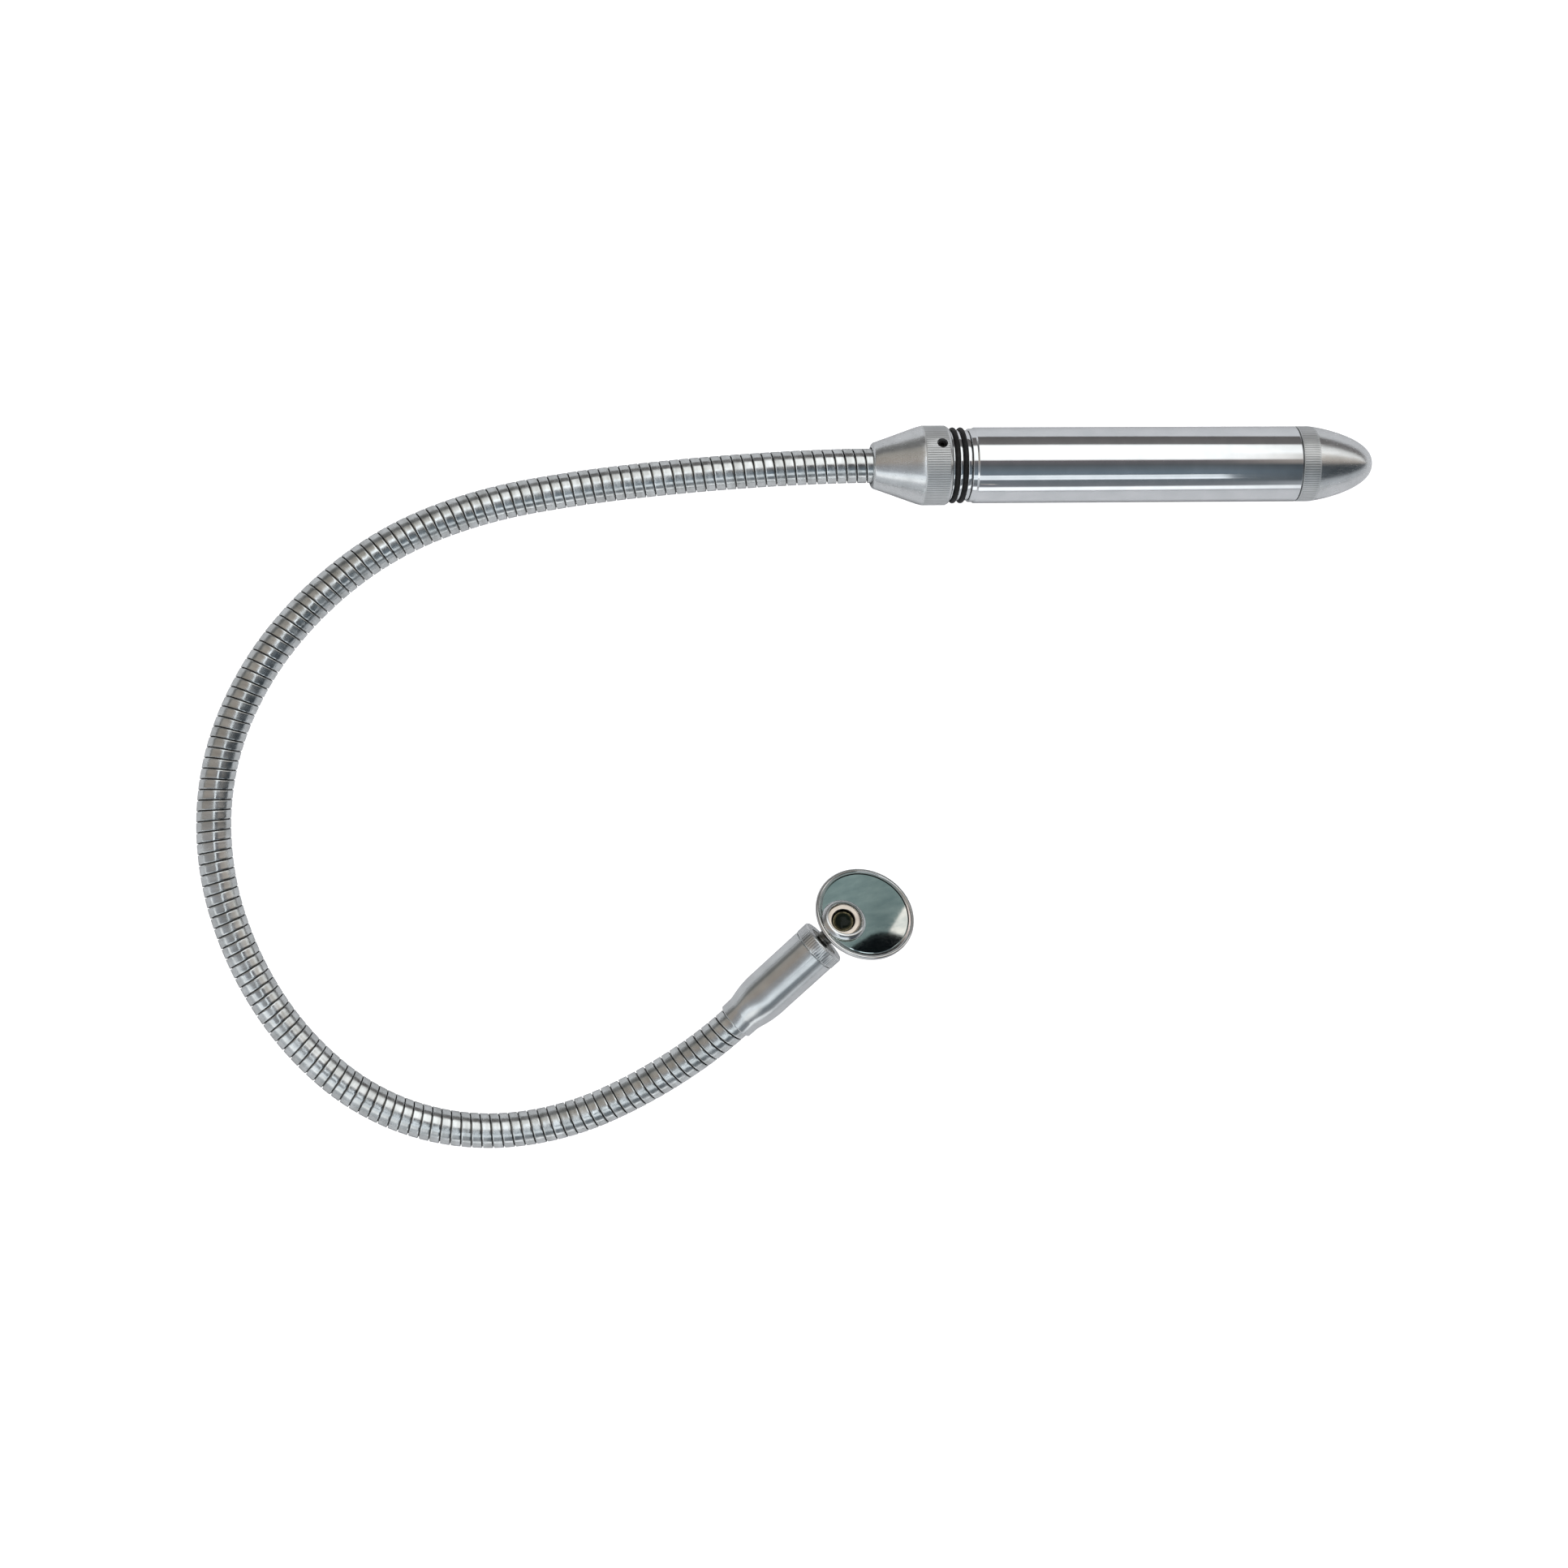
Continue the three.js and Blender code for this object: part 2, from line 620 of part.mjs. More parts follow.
// The ring behind the mirror that closes the socket, open on the stud's side.
function socketBack() {
  const body = turned([
    [SOCKET_BACK_END, radiusAround(SOCKET_BACK_END, GAP) + 0.05],
    [SOCKET_BACK_END, SOCKET_RADIUS - 0.3],
    [MIRROR_BACK - 0.1, SOCKET_RADIUS + 0.2],
    [MIRROR_BACK - 0.1, LINER_RADIUS + 0.12],
    [SOCKET_BACK_STEP, LINER_RADIUS + 0.12],
    [SOCKET_BACK_STEP, radiusAround(SOCKET_BACK_STEP, GAP) + 0.05],
  ], SIDES_MEDIUM);
  return cut(body, studClearance());
}

// The space that the stud sweeps behind the mirror, as a block about the mirror's normal.
function studClearance() {
  const block = new THREE.BoxGeometry(SLOT.depth, SLOT.length, SLOT.width);
  return block.translate(MIRROR_BACK - 0.2 - SLOT.depth / 2, -SLOT.length / 2, 0);
}

// The steel cup, about the ball's centre with its face along +X and its own centre towards +Y.
function mirrorCup() {
  const glassRadius = MIRROR_RADIUS - MIRROR_RIM_WIDTH;
  const floor = MIRROR_FRONT - 0.25 - GLASS_THICKNESS - 0.1;
  const body = turned([
    [MIRROR_BACK, 0],
    [MIRROR_BACK, MIRROR_RADIUS - 0.5],
    [MIRROR_BACK + 0.5, MIRROR_RADIUS],
    [MIRROR_FRONT - 0.4, MIRROR_RADIUS],
    [MIRROR_FRONT, MIRROR_RADIUS - 0.35],
    [MIRROR_FRONT, glassRadius + 0.25],
    [MIRROR_FRONT - 0.25, glassRadius],
    [floor, glassRadius],
    [floor, 0],
  ], SIDES_MIRROR);
  body.translate(0, MIRROR_OFFSET, 0);
  return cut(body, sleeve(-5, 5, LINER_RADIUS + 0.15, 0, SIDES_MEDIUM));
}

function mirrorDisc() {
  const back = MIRROR_FRONT - 0.25 - GLASS_THICKNESS;
  const radius = MIRROR_RADIUS - MIRROR_RIM_WIDTH - 0.1;
  const body = sleeve(back, back + GLASS_THICKNESS, radius, 0, SIDES_MIRROR);
  body.translate(0, MIRROR_OFFSET, 0);
  return cut(body, sleeve(-5, 5, LINER_RADIUS + 0.15, 0, SIDES_MEDIUM));
}

// A straight insulated lead along X.
function lead(section, sideways) {
  return sleeve(section.start, section.end, LEAD_RADIUS, 0, SIDES_TINY).translate(0, sideways, 0);
}

// Handle pieces. The handle's axis is as high as the collar is round, so the collar just touches
// the surface below.
const light = new THREE.Group();
const handle = new THREE.Group();
handle.name = 'handle_axis';
handle.position.set(0, 0, COLLAR_RADIUS);
light.add(handle);

place(handle, 'battery_barrel', batteryBarrel(), aluminium);
place(handle, 'battery_front', cell(CELLS_START), cellSleeve);
place(handle, 'battery_rear', cell(CELLS_START + CELL_SPACING), cellSleeve);
place(handle, 'tail_cap', tailCap(), aluminium);
place(handle, 'tail_spring', tailSpring(), steel);
place(handle, 'tail_contact_plate', disc(CONTACT_PLATE), brass);
place(handle, 'switch_adapter', switchAdapter(), aluminium);
for (const [side, station] of Object.entries(O_RING_STATIONS)) {
  place(handle, `o_ring_${side}`, oRing(station), blackRubber);
}
place(handle, 'contact_insulator', disc(CONTACT_INSULATOR), nylon);
place(handle, 'contact_pin', disc(CONTACT_PIN, SIDES_TINY), brass);
place(handle, 'driver_board', disc(DRIVER_BOARD), boardGreen);
place(handle, 'nose_cone', noseCone(), satinAluminium);
place(handle, 'grub_screw', screwHole(GRUB_RADIUS, NOSE_BORE_RADIUS, COLLAR_RADIUS - 0.5), darkSteel);
place(handle, 'neck_ferrule_rear', disc(FERRULE_REAR), brass);
place(handle, 'rear_lead_positive', lead(REAR_LEAD, LEAD_OFFSET), redSleeve);
place(handle, 'rear_lead_negative', lead(REAR_LEAD, -LEAD_OFFSET), blackSleeve);

// Neck stretches. Each group but the first stands on a hinge, so its origin and axes are the
// hinge's own.
for (let i = 0; i <= HINGE_COUNT; i += 1) {
  const first = i === 0;
  const last = i === HINGE_COUNT;
  const start = first ? -NECK_IN_NOSE : knots[i];
  const end = last ? NECK_LENGTH + NECK_IN_HEAD : knots[i + 1];
  const number = String(i + 1).padStart(2, '0');
  const group = frameGroup(`neck_frame_${number}`, Math.max(0, start));
  const geometry = neckStretch(start, end, !first, !last, Math.max(0, start));
  place(group, `neck_stretch_${number}`, geometry, steel);
  light.add(group);
}

// Head pieces, in the frame at the end of the neck.
const head = frameGroup('head_axis', NECK_LENGTH);
light.add(head);
place(head, 'neck_ferrule_front', disc(FERRULE_FRONT), brass);
place(head, 'front_lead_positive', lead(FRONT_LEAD, LEAD_OFFSET), redSleeve);
place(head, 'front_lead_negative', lead(FRONT_LEAD, -LEAD_OFFSET), blackSleeve);
place(head, 'head_shell', headShell(), satinAluminium);
place(head, 'head_cap', headCap(), aluminium);
place(head, 'wave_washer', disc(WAVE_WASHER), steel);
place(head, 'friction_washer', disc(FRICTION_WASHER), nylon);

// What swivels in the head: the plug, the stud and the ball with its lamp. It is rolled about the
// head's axis.
const swivel = new THREE.Group();
swivel.name = 'swivel_axis';
swivel.rotation.x = -STUD_ROLL;
head.add(swivel);
place(swivel, 'swivel_plug', swivelPlug(), darkSteel);
place(swivel, 'swivel_stud', swivelStud(), darkSteel);

const ballCentre = new THREE.Vector3(HEAD_LENGTH + BALL_REACH, 0, STUD_OFFSET);
const lamp = new THREE.Group();
lamp.name = 'lamp_axis';
lamp.position.copy(ballCentre);
lamp.rotation.y = -LAMP_LEAN;
swivel.add(lamp);
place(lamp, 'lamp_ball', lampBall(), nickel);
place(lamp, 'lamp_board', sleeve(-0.7, -0.1, LAMP_BORE_RADIUS - GAP, 0, SIDES_SMALL), nylon);
place(lamp, 'lamp_dome', lampDome(), clearDome);

// The socket tilts on the ball, and the mirror spins round the liner.
const tilt = new THREE.Group();
tilt.name = 'mirror_axis';
tilt.position.copy(ballCentre);
tilt.rotation.y = -MIRROR_LEAN;
swivel.add(tilt);
place(tilt, 'socket_liner', socketLiner(), nylon);

const spin = new THREE.Group();
spin.name = 'mirror_face';
spin.rotation.x = -Math.PI / 2 + MIRROR_SPIN;
tilt.add(spin);
place(spin, 'socket_ring', socketRing(), aluminium);
place(spin, 'socket_back', socketBack(), steel);
place(spin, 'mirror_cup', mirrorCup(), steel);
place(spin, 'mirror_glass', mirrorDisc(), mirrorGlass);

// The origin is the middle of the whole object's footprint, on the surface that it lies on.
light.updateMatrixWorld(true);
const box = new THREE.Box3().setFromObject(light, true);
const middle = box.getCenter(new THREE.Vector3());
light.position.set(-middle.x, -middle.y, -box.min.z);

export default light;
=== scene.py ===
import itertools
import math

import bpy
from mathutils import Matrix, Vector


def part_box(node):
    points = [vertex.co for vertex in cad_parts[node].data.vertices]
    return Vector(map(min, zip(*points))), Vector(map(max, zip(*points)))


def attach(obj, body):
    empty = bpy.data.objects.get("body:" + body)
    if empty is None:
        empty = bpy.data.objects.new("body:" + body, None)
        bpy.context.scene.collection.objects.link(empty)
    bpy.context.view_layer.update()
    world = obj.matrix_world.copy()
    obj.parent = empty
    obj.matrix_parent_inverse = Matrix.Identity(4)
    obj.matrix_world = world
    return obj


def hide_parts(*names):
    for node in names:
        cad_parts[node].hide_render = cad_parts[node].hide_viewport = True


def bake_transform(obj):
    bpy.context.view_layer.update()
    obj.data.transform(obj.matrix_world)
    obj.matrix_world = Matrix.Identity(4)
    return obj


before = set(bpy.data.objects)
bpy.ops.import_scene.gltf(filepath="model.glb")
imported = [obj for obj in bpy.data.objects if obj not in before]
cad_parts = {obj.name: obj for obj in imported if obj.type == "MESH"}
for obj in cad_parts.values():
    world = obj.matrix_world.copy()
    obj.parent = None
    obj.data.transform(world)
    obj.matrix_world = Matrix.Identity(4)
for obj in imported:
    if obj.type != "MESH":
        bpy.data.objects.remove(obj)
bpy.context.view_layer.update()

# Every length below is in millimetres, and MM turns it into Blender's metres. A station is a
# distance along a piece's own axis, and a profile is a list of (station, radius) points.
MM = 0.001

# Handle stations, from the face of the nose where the neck comes out.
NECK_BORE_RADIUS = 4.55
COLLAR_START = 12.8
COLLAR_END = 18.5
COLLAR_RADIUS = 9.85
NOSE_END = 19.2
NOSE_CAVITY_START = 10.0
NOSE_BORE_RADIUS = 8.25
BARREL_START = 24.1
BARREL_END = 107.6
BARREL_RADIUS = 9.4
BARREL_BORE_RADIUS = 7.5
THREAD_RADIUS = 8.35
TAIL_SEAM = 107.9
BULLET_START = 111.0
TAIL_BAND_END = 112.3
TAIL_TIP = 127.7
GRUB_STATION = 16.6
GRUB_ANGLE = math.radians(30)
GRUB_HOLE_RADIUS = 1.35
ADAPTER_BORE_RADIUS = 7.45
O_RINGS = {"front": 20.4, "rear": 22.4}
O_RING_RADIUS = 8.8
O_RING_SECTION = 0.62

# The neck's route, as the model has it: hinges at even steps, the bend over each stretch and the
# climb at the start of each stretch and at the very end, in degrees.
NECK_RADIUS = 4.25
NECK_LENGTH = 384.0
FIRST_HINGE = 14.0
HINGE_COUNT = 16
HINGE_PITCH = (NECK_LENGTH - 2 * FIRST_HINGE) / (HINGE_COUNT - 1)
NECK_IN_NOSE = 8.5
NECK_IN_HEAD = 8.0
BENDS = [2, 2, 2, 4, 11, 16, 14, 17, 20, 18.25, 15.5, 17.25, 23, 22.5, 19.25, 11, 8]
CLIMBS = [0, -3, -4.5, -4.5, -2, 0, 0, 0, 0, 0, 0, 0, 0, 0, 3, 7.5, 12, 14]
WINDING_PITCH = 2.5

# Head stations, from its neck end.
HEAD_LENGTH = 29.7
HEAD_RADIUS = 6.0
CAP_LENGTH = 3.35
CAP_RADIUS = 6.1
CAP_OPENING = 3.95
STUD_OFFSET = 1.4
WIRE_BORE_RADIUS = 0.55
STUD_ROLL = math.radians(20)
BALL_REACH = 6.8
BALL_RADIUS = 4.35
LAMP_LEAN = math.radians(66)
LAMP_BORE_RADIUS = 2.8
LAMP_FACE = 1.6
LAMP_FLOOR = -1.0
MIRROR_LEAN = math.radians(50)
MIRROR_SPIN = math.radians(-13)
MIRROR_RADIUS = 12.5
MIRROR_OFFSET = 6.2
SOCKET_RADIUS = 5.5
SOCKET_SEAT_RADIUS = 5.07

# The handle's axis comes from the frame.
barrel_low, barrel_high = (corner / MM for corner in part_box("battery_barrel"))
NOSE_FACE = Vector((
    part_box("nose_cone")[0].x / MM,
    (barrel_low.y + barrel_high.y) / 2,
    (barrel_low.z + barrel_high.z) / 2,
))
HANDLE = Matrix.Translation(NOSE_FACE)


# ---------------------------------------------------------------- camera

# The camera looks almost straight down on the object, from 8 degrees towards -X.
AIM = NOSE_FACE + Vector((-22.96, -78.35, 0.15))
CAMERA_OFFSET = Vector((-132.2, 2.1, 940.8))
CAMERA_UP = Vector((0.016, 0.99987, 0.0))
LENS = 88.5


def make_camera():
    data = bpy.data.cameras.new("camera")
    data.lens = LENS
    data.sensor_width = 36.0
    data.clip_end = 10.0
    camera = bpy.data.objects.new("camera", data)
    bpy.context.scene.collection.objects.link(camera)
    back = CAMERA_OFFSET.normalized()
    right = CAMERA_UP.cross(back).normalized()
    up = back.cross(right)
    turn = Matrix((right, up, back)).transposed().to_4x4()
    camera.matrix_world = Matrix.Translation((AIM + CAMERA_OFFSET) * MM) @ turn
    bpy.context.scene.camera = camera


make_camera()


# ---------------------------------------------------------------- neck route

KNOTS = [0.0] + [FIRST_HINGE + i * HINGE_PITCH for i in range(HINGE_COUNT)] + [NECK_LENGTH]
HEADINGS = [180.0]
for bend in BENDS:
    HEADINGS.append(HEADINGS[-1] + bend)
ROUTE_STEP = 0.5


def between(values, distance):
    """The value at a distance along the neck, from values at the knots."""
    distance = min(max(distance, 0.0), NECK_LENGTH)
    stretch = 0
    while stretch < len(KNOTS) - 2 and distance >= KNOTS[stretch + 1]:
        stretch += 1
    share = (distance - KNOTS[stretch]) / (KNOTS[stretch + 1] - KNOTS[stretch])
    return values[stretch] + share * (values[stretch + 1] - values[stretch])


def direction_at(distance):
    heading = math.radians(between(HEADINGS, distance))
    climb = math.radians(between(CLIMBS, distance))
    level = math.cos(climb)
    return Vector((level * math.cos(heading), level * math.sin(heading), math.sin(climb)))


route = [NOSE_FACE.copy()]
for index in range(round(NECK_LENGTH / ROUTE_STEP)):
    route.append(route[-1] + ROUTE_STEP * direction_at((index + 0.5) * ROUTE_STEP))


def frame_at(distance):
    """The neck's own frame at a distance along it: X along it, Y level and to its left, Z up."""
    inside = min(max(distance, 0.0), NECK_LENGTH)
    index = min(int(inside / ROUTE_STEP), len(route) - 2)
    point = route[index].lerp(route[index + 1], inside / ROUTE_STEP - index)
    along = direction_at(distance)
    point = point + along * (distance - inside)
    left = Vector((-along.y, along.x, 0.0)).normalized()
    turn = Matrix((along, left, along.cross(left))).transposed().to_4x4()
    return Matrix.Translation(point) @ turn


HEAD = frame_at(NECK_LENGTH)
SWIVEL = HEAD @ Matrix.Rotation(-STUD_ROLL, 4, "X")
BALL = SWIVEL @ Matrix.Translation((HEAD_LENGTH + BALL_REACH, 0.0, STUD_OFFSET))
LAMP = BALL @ Matrix.Rotation(-LAMP_LEAN, 4, "Y")
STUD = SWIVEL @ Matrix.Translation((0.0, 0.0, STUD_OFFSET))
SOCKET = BALL @ Matrix.Rotation(-MIRROR_LEAN, 4, "Y")
MIRROR = SOCKET @ Matrix.Rotation(MIRROR_SPIN - math.pi / 2, 4, "X")
MIRROR_CENTRE = MIRROR @ Matrix.Translation((0.0, MIRROR_OFFSET, 0.0))


# ---------------------------------------------------------------- materials


def colour(red, green, blue):
    return (red, green, blue, 1.0)


def add_node(tree, kind, **settings):
    made = tree.nodes.new(kind)
    for key, value in settings.items():
        setattr(made, key, value)
    return made


class Finish:
    """A material with one Principled shader, and short calls for the nodes before it."""

    def __init__(self, name, base, metallic=0.0, roughness=0.5, **sockets):
        self.material = bpy.data.materials.new(name)
        self.material.use_nodes = True
        self.tree = self.material.node_tree
        self.shader = self.tree.nodes["Principled BSDF"]
        self.shader.inputs["Base Color"].default_value = base
        self.shader.inputs["Metallic"].default_value = metallic
        self.shader.inputs["Roughness"].default_value = roughness
        for socket, value in sockets.items():
            self.shader.inputs[socket.replace("_", " ")].default_value = value

    def node(self, kind, **settings):
        return add_node(self.tree, kind, **settings)

    def own(self, scale=(1.0, 1.0, 1.0)):
        """The piece's own coordinates in millimetres, with X along its axis, scaled."""
        source = self.node("ShaderNodeAttribute", attribute_name="own")
        scaled = self.node("ShaderNodeVectorMath", operation="MULTIPLY")
        scaled.inputs[1].default_value = scale
        self.tree.links.new(source.outputs["Vector"], scaled.inputs[0])
        return scaled.outputs["Vector"]

    def noise(self, scale, detail=2.0, roughness=0.5):
        """Noise over the piece's own coordinates. A large scale along one axis packs it there."""
        made = self.node("ShaderNodeTexNoise")
        made.inputs["Scale"].default_value = 1.0
        made.inputs["Detail"].default_value = detail
        made.inputs["Roughness"].default_value = roughness
        self.tree.links.new(self.own(scale), made.inputs["Vector"])
        return made.outputs["Fac"]

    def spread(self, value, low, high):
        """Noise's usual 0.3 to 0.7 spread over low to high."""
        made = self.node("ShaderNodeMapRange")
        made.inputs["From Min"].default_value = 0.3
        made.inputs["From Max"].default_value = 0.7
        made.inputs["To Min"].default_value = low
        made.inputs["To Max"].default_value = high
        self.tree.links.new(value, made.inputs["Value"])
        return made.outputs["Result"]

    def raise_between(self, value, band, amount):
        """The value with an amount added between two stations of the piece's own axis."""
        axes = self.node("ShaderNodeSeparateXYZ")
        self.tree.links.new(self.own(), axes.inputs[0])
        inside = self.node("ShaderNodeMath", operation="COMPARE")
        inside.inputs[1].default_value = (band[0] + band[1]) / 2
        inside.inputs[2].default_value = (band[1] - band[0]) / 2
        self.tree.links.new(axes.outputs["X"], inside.inputs[0])
        added = self.node("ShaderNodeMath", operation="MULTIPLY_ADD")
        added.inputs[1].default_value = amount
        self.tree.links.new(inside.outputs[0], added.inputs[0])
        self.tree.links.new(value, added.inputs[2])
        return added.outputs[0]

    def groove(self):
        """1 at the bottom of a knurl's grooves, 0 at their edges and on a piece without a knurl."""
        return self.node("ShaderNodeAttribute", attribute_name="groove").outputs["Fac"]

    def depth(self, outer, inner):
        """0 where the piece's surface is farther from its axis than outer, 1 nearer than inner."""
        across = self.node("ShaderNodeVectorMath", operation="LENGTH")
        self.tree.links.new(self.own((0.0, 1.0, 1.0)), across.inputs[0])
        made = self.node("ShaderNodeMapRange")
        made.inputs["From Min"].default_value = outer
        made.inputs["From Max"].default_value = inner
        self.tree.links.new(across.outputs["Value"], made.inputs["Value"])
        return made.outputs["Result"]

    def mix(self, factor, first, second):
        made = self.node("ShaderNodeMix", data_type="RGBA")
        made.inputs["A"].default_value = first if isinstance(first, tuple) else (0, 0, 0, 1)
        made.inputs["B"].default_value = second if isinstance(second, tuple) else (0, 0, 0, 1)
        self.tree.links.new(factor, made.inputs["Factor"])
        for socket, value in (("A", first), ("B", second)):
            if not isinstance(value, tuple):
                self.tree.links.new(value, made.inputs[socket])
        return made.outputs["Result"]

    def feed(self, socket, value):
        self.tree.links.new(value, self.shader.inputs[socket])

    def bump(self, height, distance):
        """Gives the surface relief, with distance in millimetres."""
        made = self.node("ShaderNodeBump")
        made.inputs["Strength"].default_value = 1.0
        made.inputs["Distance"].default_value = distance * MM
        self.tree.links.new(height, made.inputs["Height"])
        self.feed("Normal", made.outputs["Normal"])


# Painted shade for the bottom of knurl grooves, used in every turned metal.
GROOVE_PAINTED_SHADE = colour(0.34, 0.35, 0.35)
BAND_ROUGHNESS = 0.24


def turned_metal(name, light, dark, smooth, rough, ring_depth, rings=9.0, band=None):
    """Metal off a lathe: fine rings round the axis, faint lengthwise streaks, soft smudges and painted
    shade in the knurl grooves. A band given by its two stations is duller. Polished metal has no ring
    depth."""
    finish = Finish(name, light, metallic=1.0, roughness=smooth)
    streaks = finish.noise((0.05, 2.5, 2.5), detail=3.0)
    ring_marks = finish.noise((rings, 0.15, 0.15), detail=3.0, roughness=0.7)
    smudges = finish.noise((0.22, 0.22, 0.22), detail=4.0)
    tint = finish.mix(finish.spread(smudges, 0.0, 1.0), light, dark)
    metal = finish.mix(finish.spread(ring_marks, 0.0, 0.25), tint, dark)
    # Painted shade darkens the bottom of each knurl groove.
    finish.feed("Base Color", finish.mix(finish.groove(), metal, GROOVE_PAINTED_SHADE))
    roughness = finish.spread(streaks, smooth, rough)
    if band:
        roughness = finish.raise_between(roughness, band, BAND_ROUGHNESS)
    finish.feed("Roughness", roughness)
    if ring_depth:
        finish.bump(ring_marks, ring_depth)
    return finish.material


def hose_metal():
    """The neck's strip: each turn has its own tint, with soft dents, and the gaps between turns are
    dull and darkened with painted shade."""
    light = colour(0.76, 0.79, 0.79)
    dark = colour(0.56, 0.58, 0.57)
    finish = Finish("hose_steel", light, metallic=1.0, roughness=0.24)
    turns = finish.noise((0.55, 0.12, 0.12), detail=2.0)
    patches = finish.noise((0.5, 0.3, 0.3), detail=2.0)
    dents = finish.noise((0.55, 0.35, 0.35), detail=1.0)
    tint = finish.mix(finish.spread(turns, 0.0, 1.0), light, dark)
    # Painted shade: the strip turns near black where it dips into the gaps between turns.
    painted_gap_shade = finish.depth(NECK_RADIUS - 0.11, NECK_RADIUS - 0.30)
    finish.feed("Base Color", finish.mix(painted_gap_shade, tint, colour(0.10, 0.10, 0.095)))
    finish.feed("Roughness", finish.spread(patches, 0.14, 0.30))
    finish.bump(dents, 0.035)
    return finish.material


def blackened_steel(name, dark, rubbed):
    """Dark steel that shows brighter where it's rubbed."""
    finish = Finish(name, dark, metallic=1.0, roughness=0.35)
    wear = finish.noise((1.5, 0.8, 0.8), detail=4.0, roughness=0.7)
    finish.feed("Base Color", finish.mix(finish.spread(wear, -0.3, 1.0), dark, rubbed))
    finish.feed("Roughness", finish.spread(wear, 0.25, 0.5))
    finish.bump(wear, 0.008)
    return finish.material


def nickel_plate():
    """Warm polished nickel with faint turning rings, and painted shade that makes it black inside the
    lamp's bore.
    """
    light = colour(0.72, 0.65, 0.57)
    finish = Finish("nickel_plate", light, metallic=1.0, roughness=0.2)
    rings = finish.noise((6.0, 0.3, 0.3), detail=3.0)
    cloud = finish.noise((0.5, 0.5, 0.5), detail=3.0)
    plate = finish.mix(finish.spread(cloud, 0.0, 0.6), light, colour(0.58, 0.52, 0.45))
    # Painted shade: the bore's wall is coloured near black.
    bore = finish.depth(LAMP_BORE_RADIUS + 0.12, LAMP_BORE_RADIUS + 0.04)
    finish.feed("Base Color", finish.mix(bore, plate, colour(0.015, 0.014, 0.012)))
    finish.feed("Roughness", finish.spread(rings, 0.28, 0.40))
    finish.bump(rings, 0.001)
    return finish.material


def black_rubber():
    finish = Finish("black_rubber", colour(0.004, 0.004, 0.004), roughness=0.42, Specular_IOR_Level=0.2)
    grain = finish.noise((9.0, 9.0, 9.0), detail=4.0)
    dust = finish.noise((0.8, 0.8, 0.8), detail=3.0)
    finish.feed("Base Color", finish.mix(
        finish.spread(dust, -0.2, 0.5), colour(0.003, 0.003, 0.003), colour(0.008, 0.008, 0.008)))
    finish.feed("Roughness", finish.spread(grain, 0.34, 0.6))
    finish.bump(grain, 0.02)
    return finish.material


def mirror_silver():
    """A back-silvered mirror with a faint green-blue tint, wiping marks and tiny specks."""
    clean = colour(0.80, 0.90, 0.88)
    finish = Finish("mirror_silver", clean, metallic=1.0, roughness=0.06)
    haze = finish.noise((0.15, 0.18, 0.5), detail=3.0)
    specks = finish.noise((2.2, 2.2, 2.2), detail=1.0)
    finish.feed("Base Color", finish.mix(finish.spread(haze, 0.0, 1.0), clean, colour(0.58, 0.69, 0.69)))
    finish.feed("Roughness", finish.spread(specks, 0.05, 0.08))
    return finish.material


def smooth_plastic(name, base, cloudy, roughness, grain_scale=2.0):
    """Moulded or printed plastic with a fine grain and a soft colour change."""
    finish = Finish(name, base, roughness=roughness)
    grain = finish.noise((grain_scale,) * 3, detail=4.0)
    cloud = finish.noise((0.3, 0.3, 0.3), detail=2.0)
    finish.feed("Base Color", finish.mix(finish.spread(cloud, 0.0, 0.8), base, cloudy))
    finish.feed("Roughness", finish.spread(grain, roughness * 0.8, roughness * 1.25))
    finish.bump(grain, 0.01)
    return finish.material


def lamp_clear():
    """The lamp's clear resin, coloured near black as painted shade that is darkest in its middle, with an
    olive rim of painted glints.
    """
    finish = Finish("lamp_clear", colour(0.004, 0.005, 0.004), roughness=0.06, Specular_IOR_Level=0.12)
    cloud = finish.noise((0.9, 0.9, 0.9), detail=3.0)
    # Painted glints: patches of olive round the lamp's rim.
    rim = finish.mix(finish.spread(cloud, 0.0, 1.0), colour(0.012, 0.011, 0.007), colour(0.12, 0.105, 0.06))
    # Painted shade, darkest towards the lamp's middle.
    painted_shade_middle = finish.depth(LAMP_BORE_RADIUS - 0.3, LAMP_BORE_RADIUS - 1.0)
    finish.feed("Base Color", finish.mix(painted_shade_middle, rim, colour(0.002, 0.003, 0.002)))
    finish.feed("Roughness", finish.spread(cloud, 0.03, 0.14))
    return finish.material


POLISHED_LIGHT = colour(0.83, 0.85, 0.86)
POLISHED_DARK = colour(0.73, 0.76, 0.77)
POLISHED = turned_metal("polished_aluminium", POLISHED_LIGHT, POLISHED_DARK, 0.06, 0.10, 0.0)
SILVER_LIGHT = colour(0.80, 0.82, 0.82)
SILVER_DARK = colour(0.67, 0.69, 0.69)
TURNED = turned_metal("turned_aluminium", SILVER_LIGHT, SILVER_DARK, 0.17, 0.24, 0.0006)
NOSE_METAL = turned_metal(
    "nose_aluminium", SILVER_LIGHT, SILVER_DARK, 0.20, 0.28, 0.0006, band=(COLLAR_START - 0.5, COLLAR_END))
TAIL_METAL = turned_metal(
    "tail_aluminium", SILVER_LIGHT, SILVER_DARK, 0.20, 0.28, 0.0006, band=(TAIL_SEAM, TAIL_BAND_END))
CAP_METAL = turned_metal("cap_aluminium", SILVER_LIGHT, SILVER_DARK, 0.22, 0.32, 0.0006)
SATIN = turned_metal(
    "satin_aluminium", colour(0.76, 0.79, 0.79), colour(0.64, 0.66, 0.66), 0.18, 0.26, 0.0006, rings=6.0)
MIRROR_RIM = turned_metal(
    "rim_steel", colour(0.80, 0.80, 0.79), colour(0.64, 0.64, 0.63), 0.10, 0.18, 0.0005)
